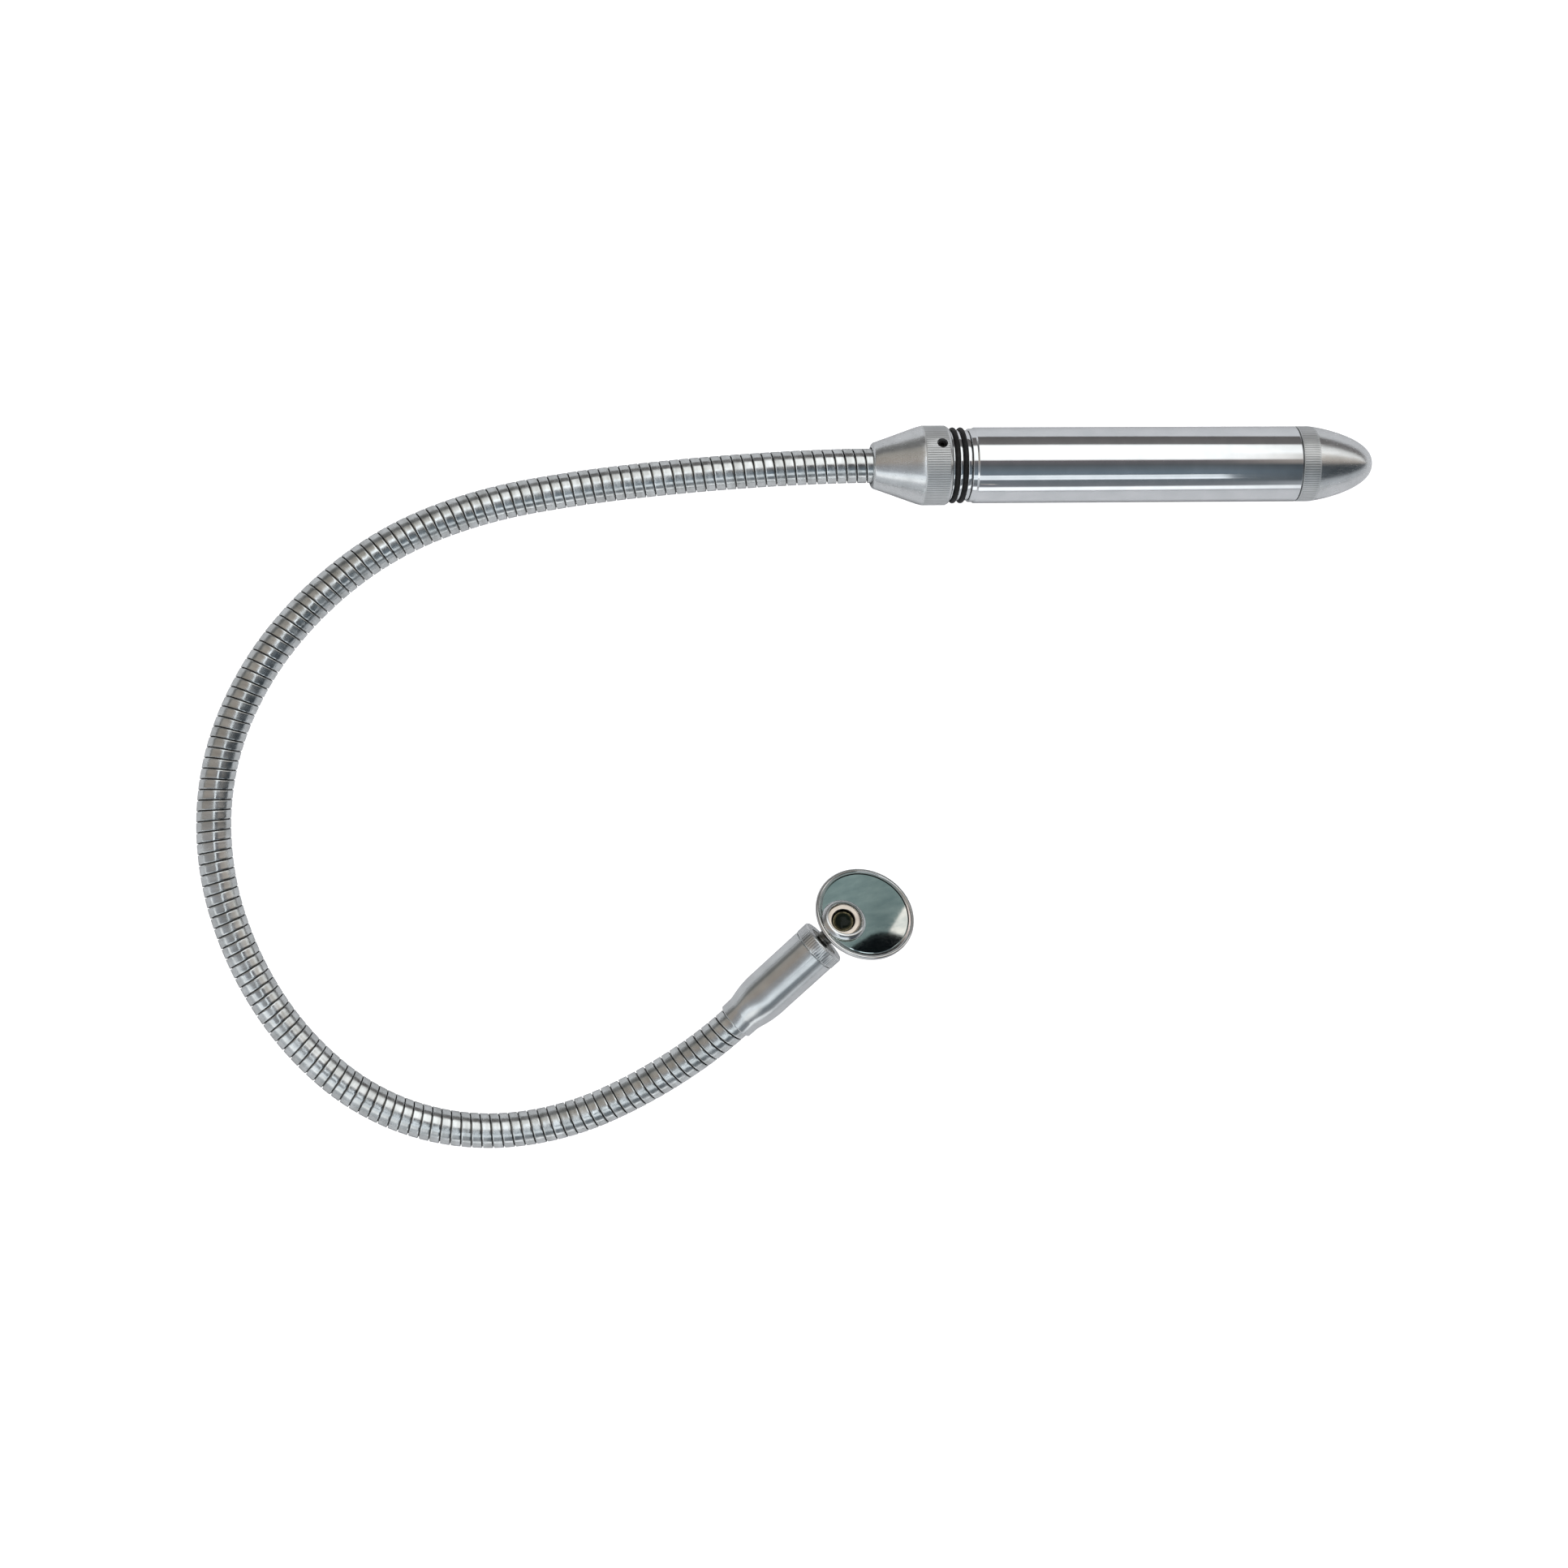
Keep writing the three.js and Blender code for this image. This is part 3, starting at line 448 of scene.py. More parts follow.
SPRING = turned_metal("spring_steel", colour(0.50, 0.50, 0.51), colour(0.34, 0.34, 0.35), 0.25, 0.4, 0.004)
BRASS = turned_metal("contact_brass", colour(0.83, 0.62, 0.28), colour(0.62, 0.42, 0.16), 0.2, 0.4, 0.004)
HOSE = hose_metal()
BLACKENED = blackened_steel("blackened_steel", colour(0.07, 0.066, 0.06), colour(0.42, 0.42, 0.39))
SCREW_STEEL = blackened_steel("screw_steel", colour(0.012, 0.012, 0.012), colour(0.035, 0.035, 0.034))
NICKEL = nickel_plate()
RUBBER = black_rubber()
SILVER = mirror_silver()
LAMP_CLEAR = lamp_clear()
NYLON = smooth_plastic("white_nylon", colour(0.80, 0.78, 0.72), colour(0.70, 0.68, 0.61), 0.42)
BOARD = smooth_plastic("green_board", colour(0.03, 0.16, 0.07), colour(0.02, 0.10, 0.045), 0.4, 3.0)
LAMP_BOARD = smooth_plastic("lamp_board_mask", colour(0.76, 0.76, 0.73), colour(0.62, 0.63, 0.6), 0.45, 3.0)
SLEEVE = smooth_plastic("cell_sleeve", colour(0.04, 0.08, 0.2), colour(0.03, 0.05, 0.13), 0.3, 1.5)
RED_LEAD = smooth_plastic("red_lead", colour(0.5, 0.03, 0.02), colour(0.36, 0.02, 0.02), 0.4)
BLACK_LEAD = smooth_plastic("black_lead", colour(0.02, 0.02, 0.02), colour(0.04, 0.04, 0.04), 0.4)


# ---------------------------------------------------------------- mesh tools


def make_piece(name, points, faces, material):
    """A mesh piece from points in millimetres in the shared frame."""
    mesh = bpy.data.meshes.new(name)
    mesh.from_pydata([point * MM for point in points], [], faces)
    mesh.validate()
    mesh.materials.append(material)
    piece = bpy.data.objects.new(name, mesh)
    bpy.context.scene.collection.objects.link(piece)
    return piece


def shade(piece, angle=35.0):
    """Smooth shading that keeps edges sharper than the angle."""
    piece.data.shade_smooth()
    piece.data.set_sharp_from_angle(angle=math.radians(angle))
    return piece


def own_coordinates(mesh, matrix):
    """Stores each vertex's place in the piece's own frame, in millimetres, for its material."""
    attribute = mesh.attributes.get("own") or mesh.attributes.new("own", "FLOAT_VECTOR", "POINT")
    inverse = matrix.inverted()
    for vertex, item in zip(mesh.vertices, attribute.data):
        item.vector = inverse @ (vertex.co / MM)


def arc(centre, radius, start, end, steps):
    """Points on an arc in a profile, with its angles in degrees from the axis' direction."""
    points = []
    for index in range(steps + 1):
        angle = math.radians(start + (end - start) * index / steps)
        points.append((centre[0] + radius * math.cos(angle), centre[1] + radius * math.sin(angle)))
    return points


GENTLE_CORNER = math.radians(20)


def eased(profile, radius, steps=3):
    """The profile with each corner rounded. Points on the axis and gentle corners stay."""
    closed = profile[0][1] > 0
    count = len(profile)
    points = []
    for index, corner in enumerate(profile):
        if not closed and index in (0, count - 1):
            points.append(corner)
            continue
        here = Vector(corner)
        before = Vector(profile[index - 1]) - here
        after = Vector(profile[(index + 1) % count]) - here
        bend = math.pi - before.angle(after)
        if bend < GENTLE_CORNER:
            points.append(corner)
            continue
        longest = 0.45 * min(before.length, after.length)
        reach = min(radius * math.tan(bend / 2), longest)
        first = here + before.normalized() * reach
        last = here + after.normalized() * reach
        for step in range(steps + 1):
            share = step / steps
            onto = first.lerp(here, share).lerp(here.lerp(last, share), share)
            points.append((onto.x, onto.y))
    return points


def turned(name, profile, matrix, material, sides=96):
    """A closed body turned about the frame's X axis. A profile starts and ends on the axis, or goes
    round a ring's section once. A point's third number is how far every third side dips there, and
    the bottom of each dip is marked for the material."""
    on_axis = profile[0][1] == 0
    points = []
    grooves = []
    rows = []
    for station, radius, *dip in profile:
        if radius == 0:
            rows.append([len(points)] * sides)
            points.append(matrix @ Vector((station, 0.0, 0.0)))
            grooves.append(0.0)
            continue
        rows.append(list(range(len(points), len(points) + sides)))
        for side in range(sides):
            angle = math.tau * side / sides
            dipped = dip[0] if dip and side % 3 == 0 else 0.0
            reach = radius - dipped
            points.append(matrix @ Vector((station, reach * math.cos(angle), reach * math.sin(angle))))
            grooves.append(1.0 if dipped > 0 else 0.0)
    if not on_axis:
        rows.append(rows[0])
    faces = []
    for row, following in zip(rows, rows[1:]):
        for side in range(sides):
            beside = (side + 1) % sides
            corners = [row[side], row[beside], following[beside], following[side]]
            faces.append(list(dict.fromkeys(corners)))
    area = sum(
        first[0] * second[1] - second[0] * first[1]
        for first, second in zip(profile, profile[1:] + profile[:1])
    )
    if area > 0:
        faces = [face[::-1] for face in faces]
    piece = make_piece(name, points, faces, material)
    marks = piece.data.attributes.new("groove", "FLOAT", "POINT")
    marks.data.foreach_set("value", grooves)
    return shade(piece)


def apply_modifiers(piece):
    """Bakes the piece's modifiers into its mesh."""
    bpy.context.view_layer.update()
    evaluated = piece.evaluated_get(bpy.context.evaluated_depsgraph_get())
    mesh = bpy.data.meshes.new_from_object(evaluated)
    piece.modifiers.clear()
    piece.data = mesh


def cut(piece, tool):
    """Takes the tool's shape out of the piece and removes the tool."""
    modifier = piece.modifiers.new("cut", "BOOLEAN")
    modifier.operation = "DIFFERENCE"
    modifier.solver = "EXACT"
    modifier.object = tool
    apply_modifiers(piece)
    bpy.data.objects.remove(tool)
    shade(piece)


def drill(piece, matrix, start, end, radius, sides):
    """Cuts a hole along the frame's X axis between two stations, round or with as few sides as asked."""
    profile = [(start, 0), (start, radius), (end, radius), (end, 0)]
    cut(piece, turned("drill", profile, matrix, piece.data.materials[0], sides))


def fit(piece, body, matrix, node):
    """Gives the piece its own coordinates and its body, and hides the CAD node it stands for."""
    own_coordinates(piece.data, matrix)
    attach(piece, body)
    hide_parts(node)


# ---------------------------------------------------------------- handle


def bullet_radius(station):
    """The tail cap's outline, round at the tip and level with the barrel at its start."""
    along = min(max((station - BULLET_START) / (TAIL_TIP - BULLET_START), 0.0), 1.0)
    return BARREL_RADIUS * (1 - along ** 1.3) ** 0.43


def knurl(start, end, radius, depth=0.07, lead=0.12):
    """Profile points of a straight-knurled band, from plain edge to plain edge."""
    run_out = 0.04
    return [
        (start, radius - depth),
        (start + lead, radius),
        (start + lead + run_out, radius, depth),
        (end - lead - run_out, radius, depth),
        (end - lead, radius),
        (end, radius - depth),
    ]


def make_nose():
    lip = 1.1
    profile = [(0.0, NECK_BORE_RADIUS)]
    profile += arc((lip, 4.75), lip, 180, 118, 5)
    profile += [(2.2, 6.28), (6.0, 7.62), (COLLAR_START - 3.0, 8.98), (COLLAR_START - 1.5, 9.49)]
    profile += [(COLLAR_START - 0.9, 9.66), (COLLAR_START - 0.5, 9.75)]
    profile += knurl(COLLAR_START - 0.3, COLLAR_END, COLLAR_RADIUS)
    profile += [
        (NOSE_END - 0.15, COLLAR_RADIUS - 0.42),
        (NOSE_END, COLLAR_RADIUS - 0.6),
        (NOSE_END, NOSE_BORE_RADIUS),
        (NOSE_CAVITY_START, NOSE_BORE_RADIUS),
        (NOSE_CAVITY_START, NECK_BORE_RADIUS),
    ]
    nose = turned("nose_shell", profile, HANDLE, NOSE_METAL, sides=300)
    drill(nose, grub_frame(), NOSE_BORE_RADIUS - 1, COLLAR_RADIUS + 1, GRUB_HOLE_RADIUS, 40)
    fit(nose, "nose", HANDLE, "nose_cone")


def grub_frame():
    """The grub screw's own frame: X points out of the collar, 30 degrees from straight up."""
    lean = Matrix.Rotation(-GRUB_ANGLE, 4, "X")
    upright = Matrix.Rotation(-math.pi / 2, 4, "Y")
    return HANDLE @ Matrix.Translation((GRUB_STATION, 0.0, 0.0)) @ lean @ upright


def make_grub_screw():
    """A cup of dark steel with a hexagon socket, sunk in the collar's hole."""
    radius = 1.12
    chamfer = 0.2
    start = 7.9
    end = 8.95
    profile = [
        (start, 0),
        (start, radius - chamfer),
        (start + chamfer, radius),
        (end - chamfer, radius),
        (end, radius - chamfer),
        (end, 0),
    ]
    screw = turned("grub_screw_socket", eased(profile, 0.06), grub_frame(), SCREW_STEEL, 36)
    socket_floor = 8.3
    socket_radius = 0.62
    drill(screw, grub_frame(), socket_floor, end + 1, socket_radius, 6)
    fit(screw, "nose", grub_frame(), "grub_screw")


def make_adapter():
    start = 12.4
    end = 31.0
    front_thread = NOSE_BORE_RADIUS - 0.3
    rear_thread = THREAD_RADIUS - 0.35
    flange = 8.7
    groove = 8.1
    half_groove = 0.68
    gap = 0.15
    profile = [
        (start, ADAPTER_BORE_RADIUS),
        (start, front_thread),
        (NOSE_END + gap, front_thread),
        (NOSE_END + gap, flange),
    ]
    for station in O_RINGS.values():
        profile += [(station - half_groove, flange), (station - half_groove, groove)]
        profile += [(station + half_groove, groove), (station + half_groove, flange)]
    profile += [
        (BARREL_START - gap, flange),
        (BARREL_START - gap, rear_thread),
        (end, rear_thread),
        (end, ADAPTER_BORE_RADIUS),
    ]
    adapter = turned("adapter_turned", eased(profile, 0.1, 2), HANDLE, POLISHED)
    fit(adapter, "nose", HANDLE, "switch_adapter")


def make_o_rings():
    for side, station in O_RINGS.items():
        section = arc((station, O_RING_RADIUS), O_RING_SECTION, 0, 360, 16)[:-1]
        ring = turned(f"seal_{side}", section, HANDLE, RUBBER, 72)
        fit(ring, "nose", HANDLE, f"o_ring_{side}")


def make_barrel():
    thread = 7.5
    profile = [
        (BARREL_START, THREAD_RADIUS),
        (BARREL_START, BARREL_RADIUS - 0.55),
        (BARREL_START + 0.18, BARREL_RADIUS - 0.32),
        (BARREL_START + 1.25, BARREL_RADIUS - 0.30),
        (BARREL_START + 1.6, BARREL_RADIUS),
        (BARREL_END - 0.12, BARREL_RADIUS),
        (BARREL_END, BARREL_RADIUS - 0.12),
        (BARREL_END, THREAD_RADIUS),
        (BARREL_END - thread, THREAD_RADIUS),
        (BARREL_END - thread, BARREL_BORE_RADIUS),
        (BARREL_START + thread, BARREL_BORE_RADIUS),
        (BARREL_START + thread, THREAD_RADIUS),
    ]
    barrel = turned("barrel_tube", eased(profile, 0.12, 2), HANDLE, POLISHED, 128)
    fit(barrel, "barrel", HANDLE, "battery_barrel")


def make_tail_cap():
    wall = 1.25
    cavity_end = 123.0
    cells_end = 116.2
    thread_start = TAIL_SEAM - 6.0
    thread = THREAD_RADIUS - 0.3
    profile = [(cavity_end, 0.0)]
    for station in (cavity_end, 122.0, 120.5, 119.0, 117.6):
        profile.append((station, bullet_radius(station + wall) - wall))
    profile += [
        (cells_end, BARREL_BORE_RADIUS),
        (thread_start, BARREL_BORE_RADIUS),
        (thread_start, thread),
        (TAIL_SEAM, thread),
        (TAIL_SEAM, BARREL_RADIUS - 0.15),
        (TAIL_SEAM + 0.12, BARREL_RADIUS),
    ]
    knurl_depth = 0.05
    for station in (TAIL_SEAM + 0.2, 109.5, BULLET_START, TAIL_BAND_END - 0.6):
        profile.append((station, bullet_radius(station), knurl_depth))
    profile.append((TAIL_BAND_END, bullet_radius(TAIL_BAND_END)))
    steps = 22
    for index in range(1, steps):
        along = 1 - (1 - index / steps) ** 1.8
        station = TAIL_BAND_END + along * (TAIL_TIP - TAIL_BAND_END)
        profile.append((station, bullet_radius(station)))
    profile.append((TAIL_TIP, 0.0))
    cap = turned("tail_cap_bullet", profile, HANDLE, TAIL_METAL, sides=282)
    fit(cap, "tail_cap", HANDLE, "tail_cap")


make_nose()
make_grub_screw()
make_adapter()
make_o_rings()
make_barrel()
make_tail_cap()


# ---------------------------------------------------------------- neck

# The strip's section over one pitch of the winding, as (station, radius) from the turn's start. The
# flat band shows outside, and its lip lies under the next turn and closes the gap between them.
BAND_WIDTH = 2.26
LIP_END = BAND_WIDTH + 0.46
LIP_RADIUS = 3.72
STRIP_INNER_RADIUS = 3.5
STRIP_SECTION = [
    (0.0, NECK_RADIUS - 0.33),
    (0.03, NECK_RADIUS - 0.10),
    (0.09, NECK_RADIUS - 0.03),
    (0.20, NECK_RADIUS),
    (0.40, NECK_RADIUS),
    (BAND_WIDTH - 0.40, NECK_RADIUS),
    (BAND_WIDTH - 0.20, NECK_RADIUS),
    (BAND_WIDTH - 0.09, NECK_RADIUS - 0.03),
    (BAND_WIDTH - 0.03, NECK_RADIUS - 0.12),
    (BAND_WIDTH, NECK_RADIUS - 0.40),
    (BAND_WIDTH + 0.06, LIP_RADIUS),
    (LIP_END, LIP_RADIUS),
    (LIP_END, STRIP_INNER_RADIUS),
    (0.46, STRIP_INNER_RADIUS),
    (0.40, LIP_RADIUS + 0.06),
]
SIDES_PER_TURN = 36


def wind(start, end):
    """The neck's strip, wound from one distance along the neck to another: its points, its faces and
    each point's own coordinates."""
    turns = (end - start) / WINDING_PITCH
    steps = round(turns * SIDES_PER_TURN)
    points = []
    own = []
    for step in range(steps + 1):
        base = start + (end - start) * step / steps
        angle = math.tau * base / WINDING_PITCH
        for offset, radius in STRIP_SECTION:
            station = base + offset - WINDING_PITCH / 2
            around = Vector((0.0, radius * math.cos(angle), radius * math.sin(angle)))
            points.append(frame_at(station) @ around)
            own.append(Vector((station, around.y, around.z)))
    size = len(STRIP_SECTION)
    faces = []
    for step in range(steps):
        for index in range(size):
            beside = (index + 1) % size
            first, second = step * size + index, step * size + beside
            faces.append([second, first, first + size, second + size])
    faces.append(list(range(size)))
    faces.append([steps * size + index for index in reversed(range(size))])
    return points, faces, own


def hose_piece(name, start, end, node):
    points, faces, own = wind(start, end)
    piece = shade(make_piece(name, points, faces, HOSE), 40.0)
    attribute = piece.data.attributes.new("own", "FLOAT_VECTOR", "POINT")
    for item, value in zip(attribute.data, own):
        item.vector = value
    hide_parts(node)
    return piece


def make_hose():
    """A rigid length in the nose and in the head, and between them one length for each hinge, which
    runs between the middles of the stretches on both sides and follows the route's bends."""
    middles = [FIRST_HINGE / 2]
    middles += [(KNOTS[i] + KNOTS[i + 1]) / 2 for i in range(1, HINGE_COUNT)]
    middles.append(NECK_LENGTH - FIRST_HINGE / 2)
    tail = hose_piece("hose_in_nose", WINDING_PITCH - NECK_IN_NOSE, middles[0], "neck_stretch_01")
    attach(tail, "nose")
    for i in range(HINGE_COUNT):
        node = f"neck_stretch_{i + 1:02d}"
        piece = hose_piece(f"hose_{i + 1:02d}", middles[i], middles[i + 1], node)
        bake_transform(piece)
    last = NECK_LENGTH + NECK_IN_HEAD - WINDING_PITCH
    front = hose_piece("hose_in_head", middles[-1], last, "neck_stretch_17")
    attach(front, "head")


make_hose()


# ---------------------------------------------------------------- head


def make_head_shell():
    thread = 5.25
    thread_end = HEAD_LENGTH - 1.4
    cavity = 4.7
    waist = 3.2
    waist_start = 22.0
    waist_end = 23.4
    profile = [(0.0, NECK_BORE_RADIUS), (0.0, 4.65), (0.2, 4.85), (3.0, 4.9), (3.2, 4.95)]
    profile += [(3.6, 5.02), (4.8, 5.3), (6.0, 5.56), (7.2, 5.76), (8.6, 5.91), (10.0, 5.97)]
    seam = HEAD_LENGTH - CAP_LENGTH - 0.05
    profile += [
        (seam - 0.1, HEAD_RADIUS),
        (seam, HEAD_RADIUS - 0.12),
        (seam, thread),
        (thread_end, thread),
        (thread_end, cavity),
        (waist_end, cavity),
        (waist_end, waist),
        (waist_start, waist),
        (waist_start, NECK_BORE_RADIUS),
    ]
    shell = turned("head_shell_turned", profile, HEAD, SATIN)
    fit(shell, "head", HEAD, "head_shell")


def make_head_cap():
    start = HEAD_LENGTH - CAP_LENGTH + 0.2
    lip = HEAD_LENGTH - 0.95
    inner = 5.4
    profile = [(start, inner), (start, CAP_RADIUS - 0.14)]
    profile += knurl(start, HEAD_LENGTH - 0.25, CAP_RADIUS, 0.05, 0.1)
    profile += [
        (HEAD_LENGTH, CAP_RADIUS - 0.3),
        (HEAD_LENGTH, CAP_OPENING + 0.12),
        (HEAD_LENGTH - 0.12, CAP_OPENING),
        (lip, CAP_OPENING),
        (lip, inner),
    ]
    cap = turned("head_cap_knurled", profile, HEAD, CAP_METAL, sides=180)
    fit(cap, "head", HEAD, "head_cap")


def make_plug():
    start = HEAD_LENGTH - 3.1
    shoulder = HEAD_LENGTH - 1.25
    face = HEAD_LENGTH - 0.15
    flange = 4.4
    radius = CAP_OPENING - 0.2
    stud_bore = 1.75
    profile = [(start, 0), (start, flange), (shoulder, flange)]
    profile += [(shoulder, radius), (face, radius), (face, 0)]
    plug = turned("swivel_disc", eased(profile, 0.12), SWIVEL, BLACKENED, 64)
    drill(plug, STUD, start - 1, HEAD_LENGTH + 1, stud_bore, 40)
    fit(plug, "swivel", SWIVEL, "swivel_plug")


def make_stud():
    neck = 1.45
    shank = 1.98
    groove = 1.72
    start = HEAD_LENGTH - 3.4
    face = HEAD_LENGTH + 0.15
    tip = HEAD_LENGTH + BALL_REACH - BALL_RADIUS - 0.3
    profile = [(start, WIRE_BORE_RADIUS), (start, neck), (face, neck), (face, shank - 0.1)]
    profile += [(face + 0.1, shank), (face + 0.5, shank), (face + 0.58, groove), (face + 0.82, groove)]
    profile += [(face + 0.9, shank), (tip - 0.72, shank - 0.05), (tip - 0.45, shank - 0.2)]
    profile += [(tip, neck), (tip, WIRE_BORE_RADIUS)]
    stud = turned("stud_turned", eased(profile, 0.06, 2), STUD, BLACKENED, 48)
    fit(stud, "swivel", STUD, "swivel_stud")


def make_ball():
    """The ball, flat in front, with a rounded lip round its lamp bore and a hole for the wires."""
    face_radius = math.sqrt(BALL_RADIUS ** 2 - LAMP_FACE ** 2)
    edge = math.degrees(math.atan2(face_radius, LAMP_FACE))
    lip = 0.2
    profile = [(-BALL_RADIUS, 0.0)]
    profile += arc((0, 0), BALL_RADIUS, 178, edge + 3, 30)
    profile += [(LAMP_FACE, face_radius - 0.2), (LAMP_FACE, LAMP_BORE_RADIUS + 2 * lip)]
    profile += arc((LAMP_FACE - lip, LAMP_BORE_RADIUS + lip), lip, 0, -90, 4)
    profile += [(LAMP_FLOOR, LAMP_BORE_RADIUS), (LAMP_FLOOR, 0.0)]
    ball = turned("lamp_ball_turned", profile, LAMP, NICKEL, 64)
    hole_frame = LAMP @ Matrix.Rotation(math.pi - LAMP_LEAN, 4, "Y")
    drill(ball, hole_frame, 0.0, BALL_RADIUS + 1, WIRE_BORE_RADIUS, 20)
    fit(ball, "swivel", LAMP, "lamp_ball")


def make_lamp():
    """A clear lamp: a low dome on a flanged disc."""
    radius = LAMP_BORE_RADIUS - 0.3
    shoulder = 0.7
    rise = 0.8
    profile = [(0.2, 0), (0.2, radius), (shoulder - 0.1, radius), (shoulder, radius - 0.15)]
    for station, across in arc((0, 0), 1.0, 88, 4, 12):
        profile.append((shoulder + rise * station, (radius - 0.3) * across))
    profile.append((shoulder + rise, 0))
    lamp = turned("lamp_dome_clear", profile, LAMP, LAMP_CLEAR, 48)
    fit(lamp, "swivel", LAMP, "lamp_dome")


def around_ball(station, clearance):
    """The radius of a hollow that clears the ball at a station from its middle."""
    return math.sqrt((BALL_RADIUS + clearance) ** 2 - station ** 2)


def make_socket():
    liner_radius = 4.95
    half = 1.0
    liner = [(-half, liner_radius), (half, liner_radius)]
    for share in (1.0, 0.6, 0.2, -0.2, -0.6, -1.0):
        liner.append((share * half, around_ball(share * half, 0.2)))
    piece = turned("socket_liner_moulded", liner, SOCKET, NYLON, 64)
    fit(piece, "socket", SOCKET, "socket_liner")

    face = 1.05
    step = 1.5
    front = 2.0
    ring = [(face, SOCKET_SEAT_RADIUS), (face, SOCKET_RADIUS), (face + 0.2, SOCKET_RADIUS)]
    ring += [(1.6, SOCKET_RADIUS - 0.3), (1.9, SOCKET_RADIUS - 0.62), (front, SOCKET_RADIUS - 0.85)]
    ring += [(front, around_ball(front, 0.35)), (1.75, around_ball(1.75, 0.35))]
    ring += [(step, around_ball(step, 0.4)), (step, SOCKET_SEAT_RADIUS)]
    piece = turned("socket_ring_turned", ring, MIRROR, TURNED, 72)
    fit(piece, "mirror", MIRROR, "socket_ring")


def block(name, low, high, matrix):
    """A plain box, used only as a cutting tool."""
    corners = [matrix @ Vector(corner) for corner in itertools.product(*zip(low, high))]
    faces = [(0, 1, 3, 2), (4, 6, 7, 5), (0, 4, 5, 1), (2, 3, 7, 6), (0, 2, 6, 4), (1, 5, 7, 3)]
    return make_piece(name, corners, faces, BLACKENED)


def make_mirror():
    """The cup with its rolled rim and the glass in it, both with a hole for the ball's socket, and the
    ring behind the cup, with a slot where the stud passes."""
    hole_radius = 5.1
    hole_reach = 5.0
    back = -0.95
    front = 0.95
    inner = MIRROR_RADIUS - 1.4
    glass_front = 0.7
    glass_back = -0.2
    shoulder = 0.9
    rim = 0.5
    cup = [(back, 0.0), (back, MIRROR_RADIUS - 1.2)]
    cup += arc((back + shoulder, MIRROR_RADIUS - 1.2), shoulder, 180, 120, 5)[1:]
    cup += [(-0.1, MIRROR_RADIUS - 0.12)]
    cup += arc((front - rim, MIRROR_RADIUS - rim), rim, 80, -60, 8)
    cup += [(glass_front, inner + 0.05), (glass_back - 0.1, inner), (glass_back - 0.1, 0.0)]
    piece = turned("mirror_cup_pressed", cup, MIRROR_CENTRE, MIRROR_RIM, 128)
    drill(piece, MIRROR, -hole_reach, hole_reach, hole_radius, 72)
    fit(piece, "mirror", MIRROR_CENTRE, "mirror_cup")

    radius = inner - 0.1
    glass = [(glass_back, 0), (glass_back, radius), (glass_front - 0.18, radius)]
    glass += [(glass_front, radius - 0.18), (glass_front, 0)]
    piece = turned("mirror_disc", glass, MIRROR_CENTRE, SILVER, 128)
    drill(piece, MIRROR, -hole_reach, hole_reach, hole_radius, 72)
    fit(piece, "mirror", MIRROR_CENTRE, "mirror_glass")

    end = -2.7
    start = -1.05
    floor = -2.1
    ring = [(end, around_ball(end, 0.35)), (end, 4.9), (-2.45, 5.2), (start, 5.7)]
    ring += [(start, SOCKET_SEAT_RADIUS), (floor, SOCKET_SEAT_RADIUS), (floor, around_ball(floor, 0.35))]
    piece = turned("socket_back_pressed", ring, MIRROR, MIRROR_RIM, 72)
    slot = 4.7
    cut(piece, block("slot_tool", (-5.15, -9.0, -slot), (-1.15, 0.0, slot), MIRROR))
    fit(piece, "mirror", MIRROR, "socket_back")


make_head_shell()
make_head_cap()
make_plug()
make_stud()
make_ball()
make_lamp()
make_socket()
make_mirror()


# ---------------------------------------------------------------- CAD nodes that stay

KEPT_NODES = {
    "battery_front": (SLEEVE, HANDLE),
    "battery_rear": (SLEEVE, HANDLE),
    "tail_spring": (SPRING, HANDLE),
    "tail_contact_plate": (BRASS, HANDLE),
    "contact_insulator": (NYLON, HANDLE),
    "contact_pin": (BRASS, HANDLE),
    "driver_board": (BOARD, HANDLE),
    "neck_ferrule_rear": (BRASS, HANDLE),
    "rear_lead_positive": (RED_LEAD, HANDLE),
    "rear_lead_negative": (BLACK_LEAD, HANDLE),
    "neck_ferrule_front": (BRASS, HEAD),
    "front_lead_positive": (RED_LEAD, HEAD),
    "front_lead_negative": (BLACK_LEAD, HEAD),
    "wave_washer": (SPRING, HEAD),
    "friction_washer": (NYLON, HEAD),
    "lamp_board": (LAMP_BOARD, LAMP),
}
for name, (material, matrix) in KEPT_NODES.items():
    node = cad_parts[name]
    node.data.materials.clear()
    node.data.materials.append(material)
    own_coordinates(node.data, matrix)


# ---------------------------------------------------------------- stage and light


def stage_mesh(name, corners, material):
    mesh = bpy.data.meshes.new(name)
    mesh.from_pydata([Vector(corner) * MM for corner in corners], [], [tuple(range(len(corners)))])
    mesh.materials.append(material)
    stage = bpy.data.objects.new(name, mesh)
    bpy.context.scene.collection.objects.link(stage)
    return stage


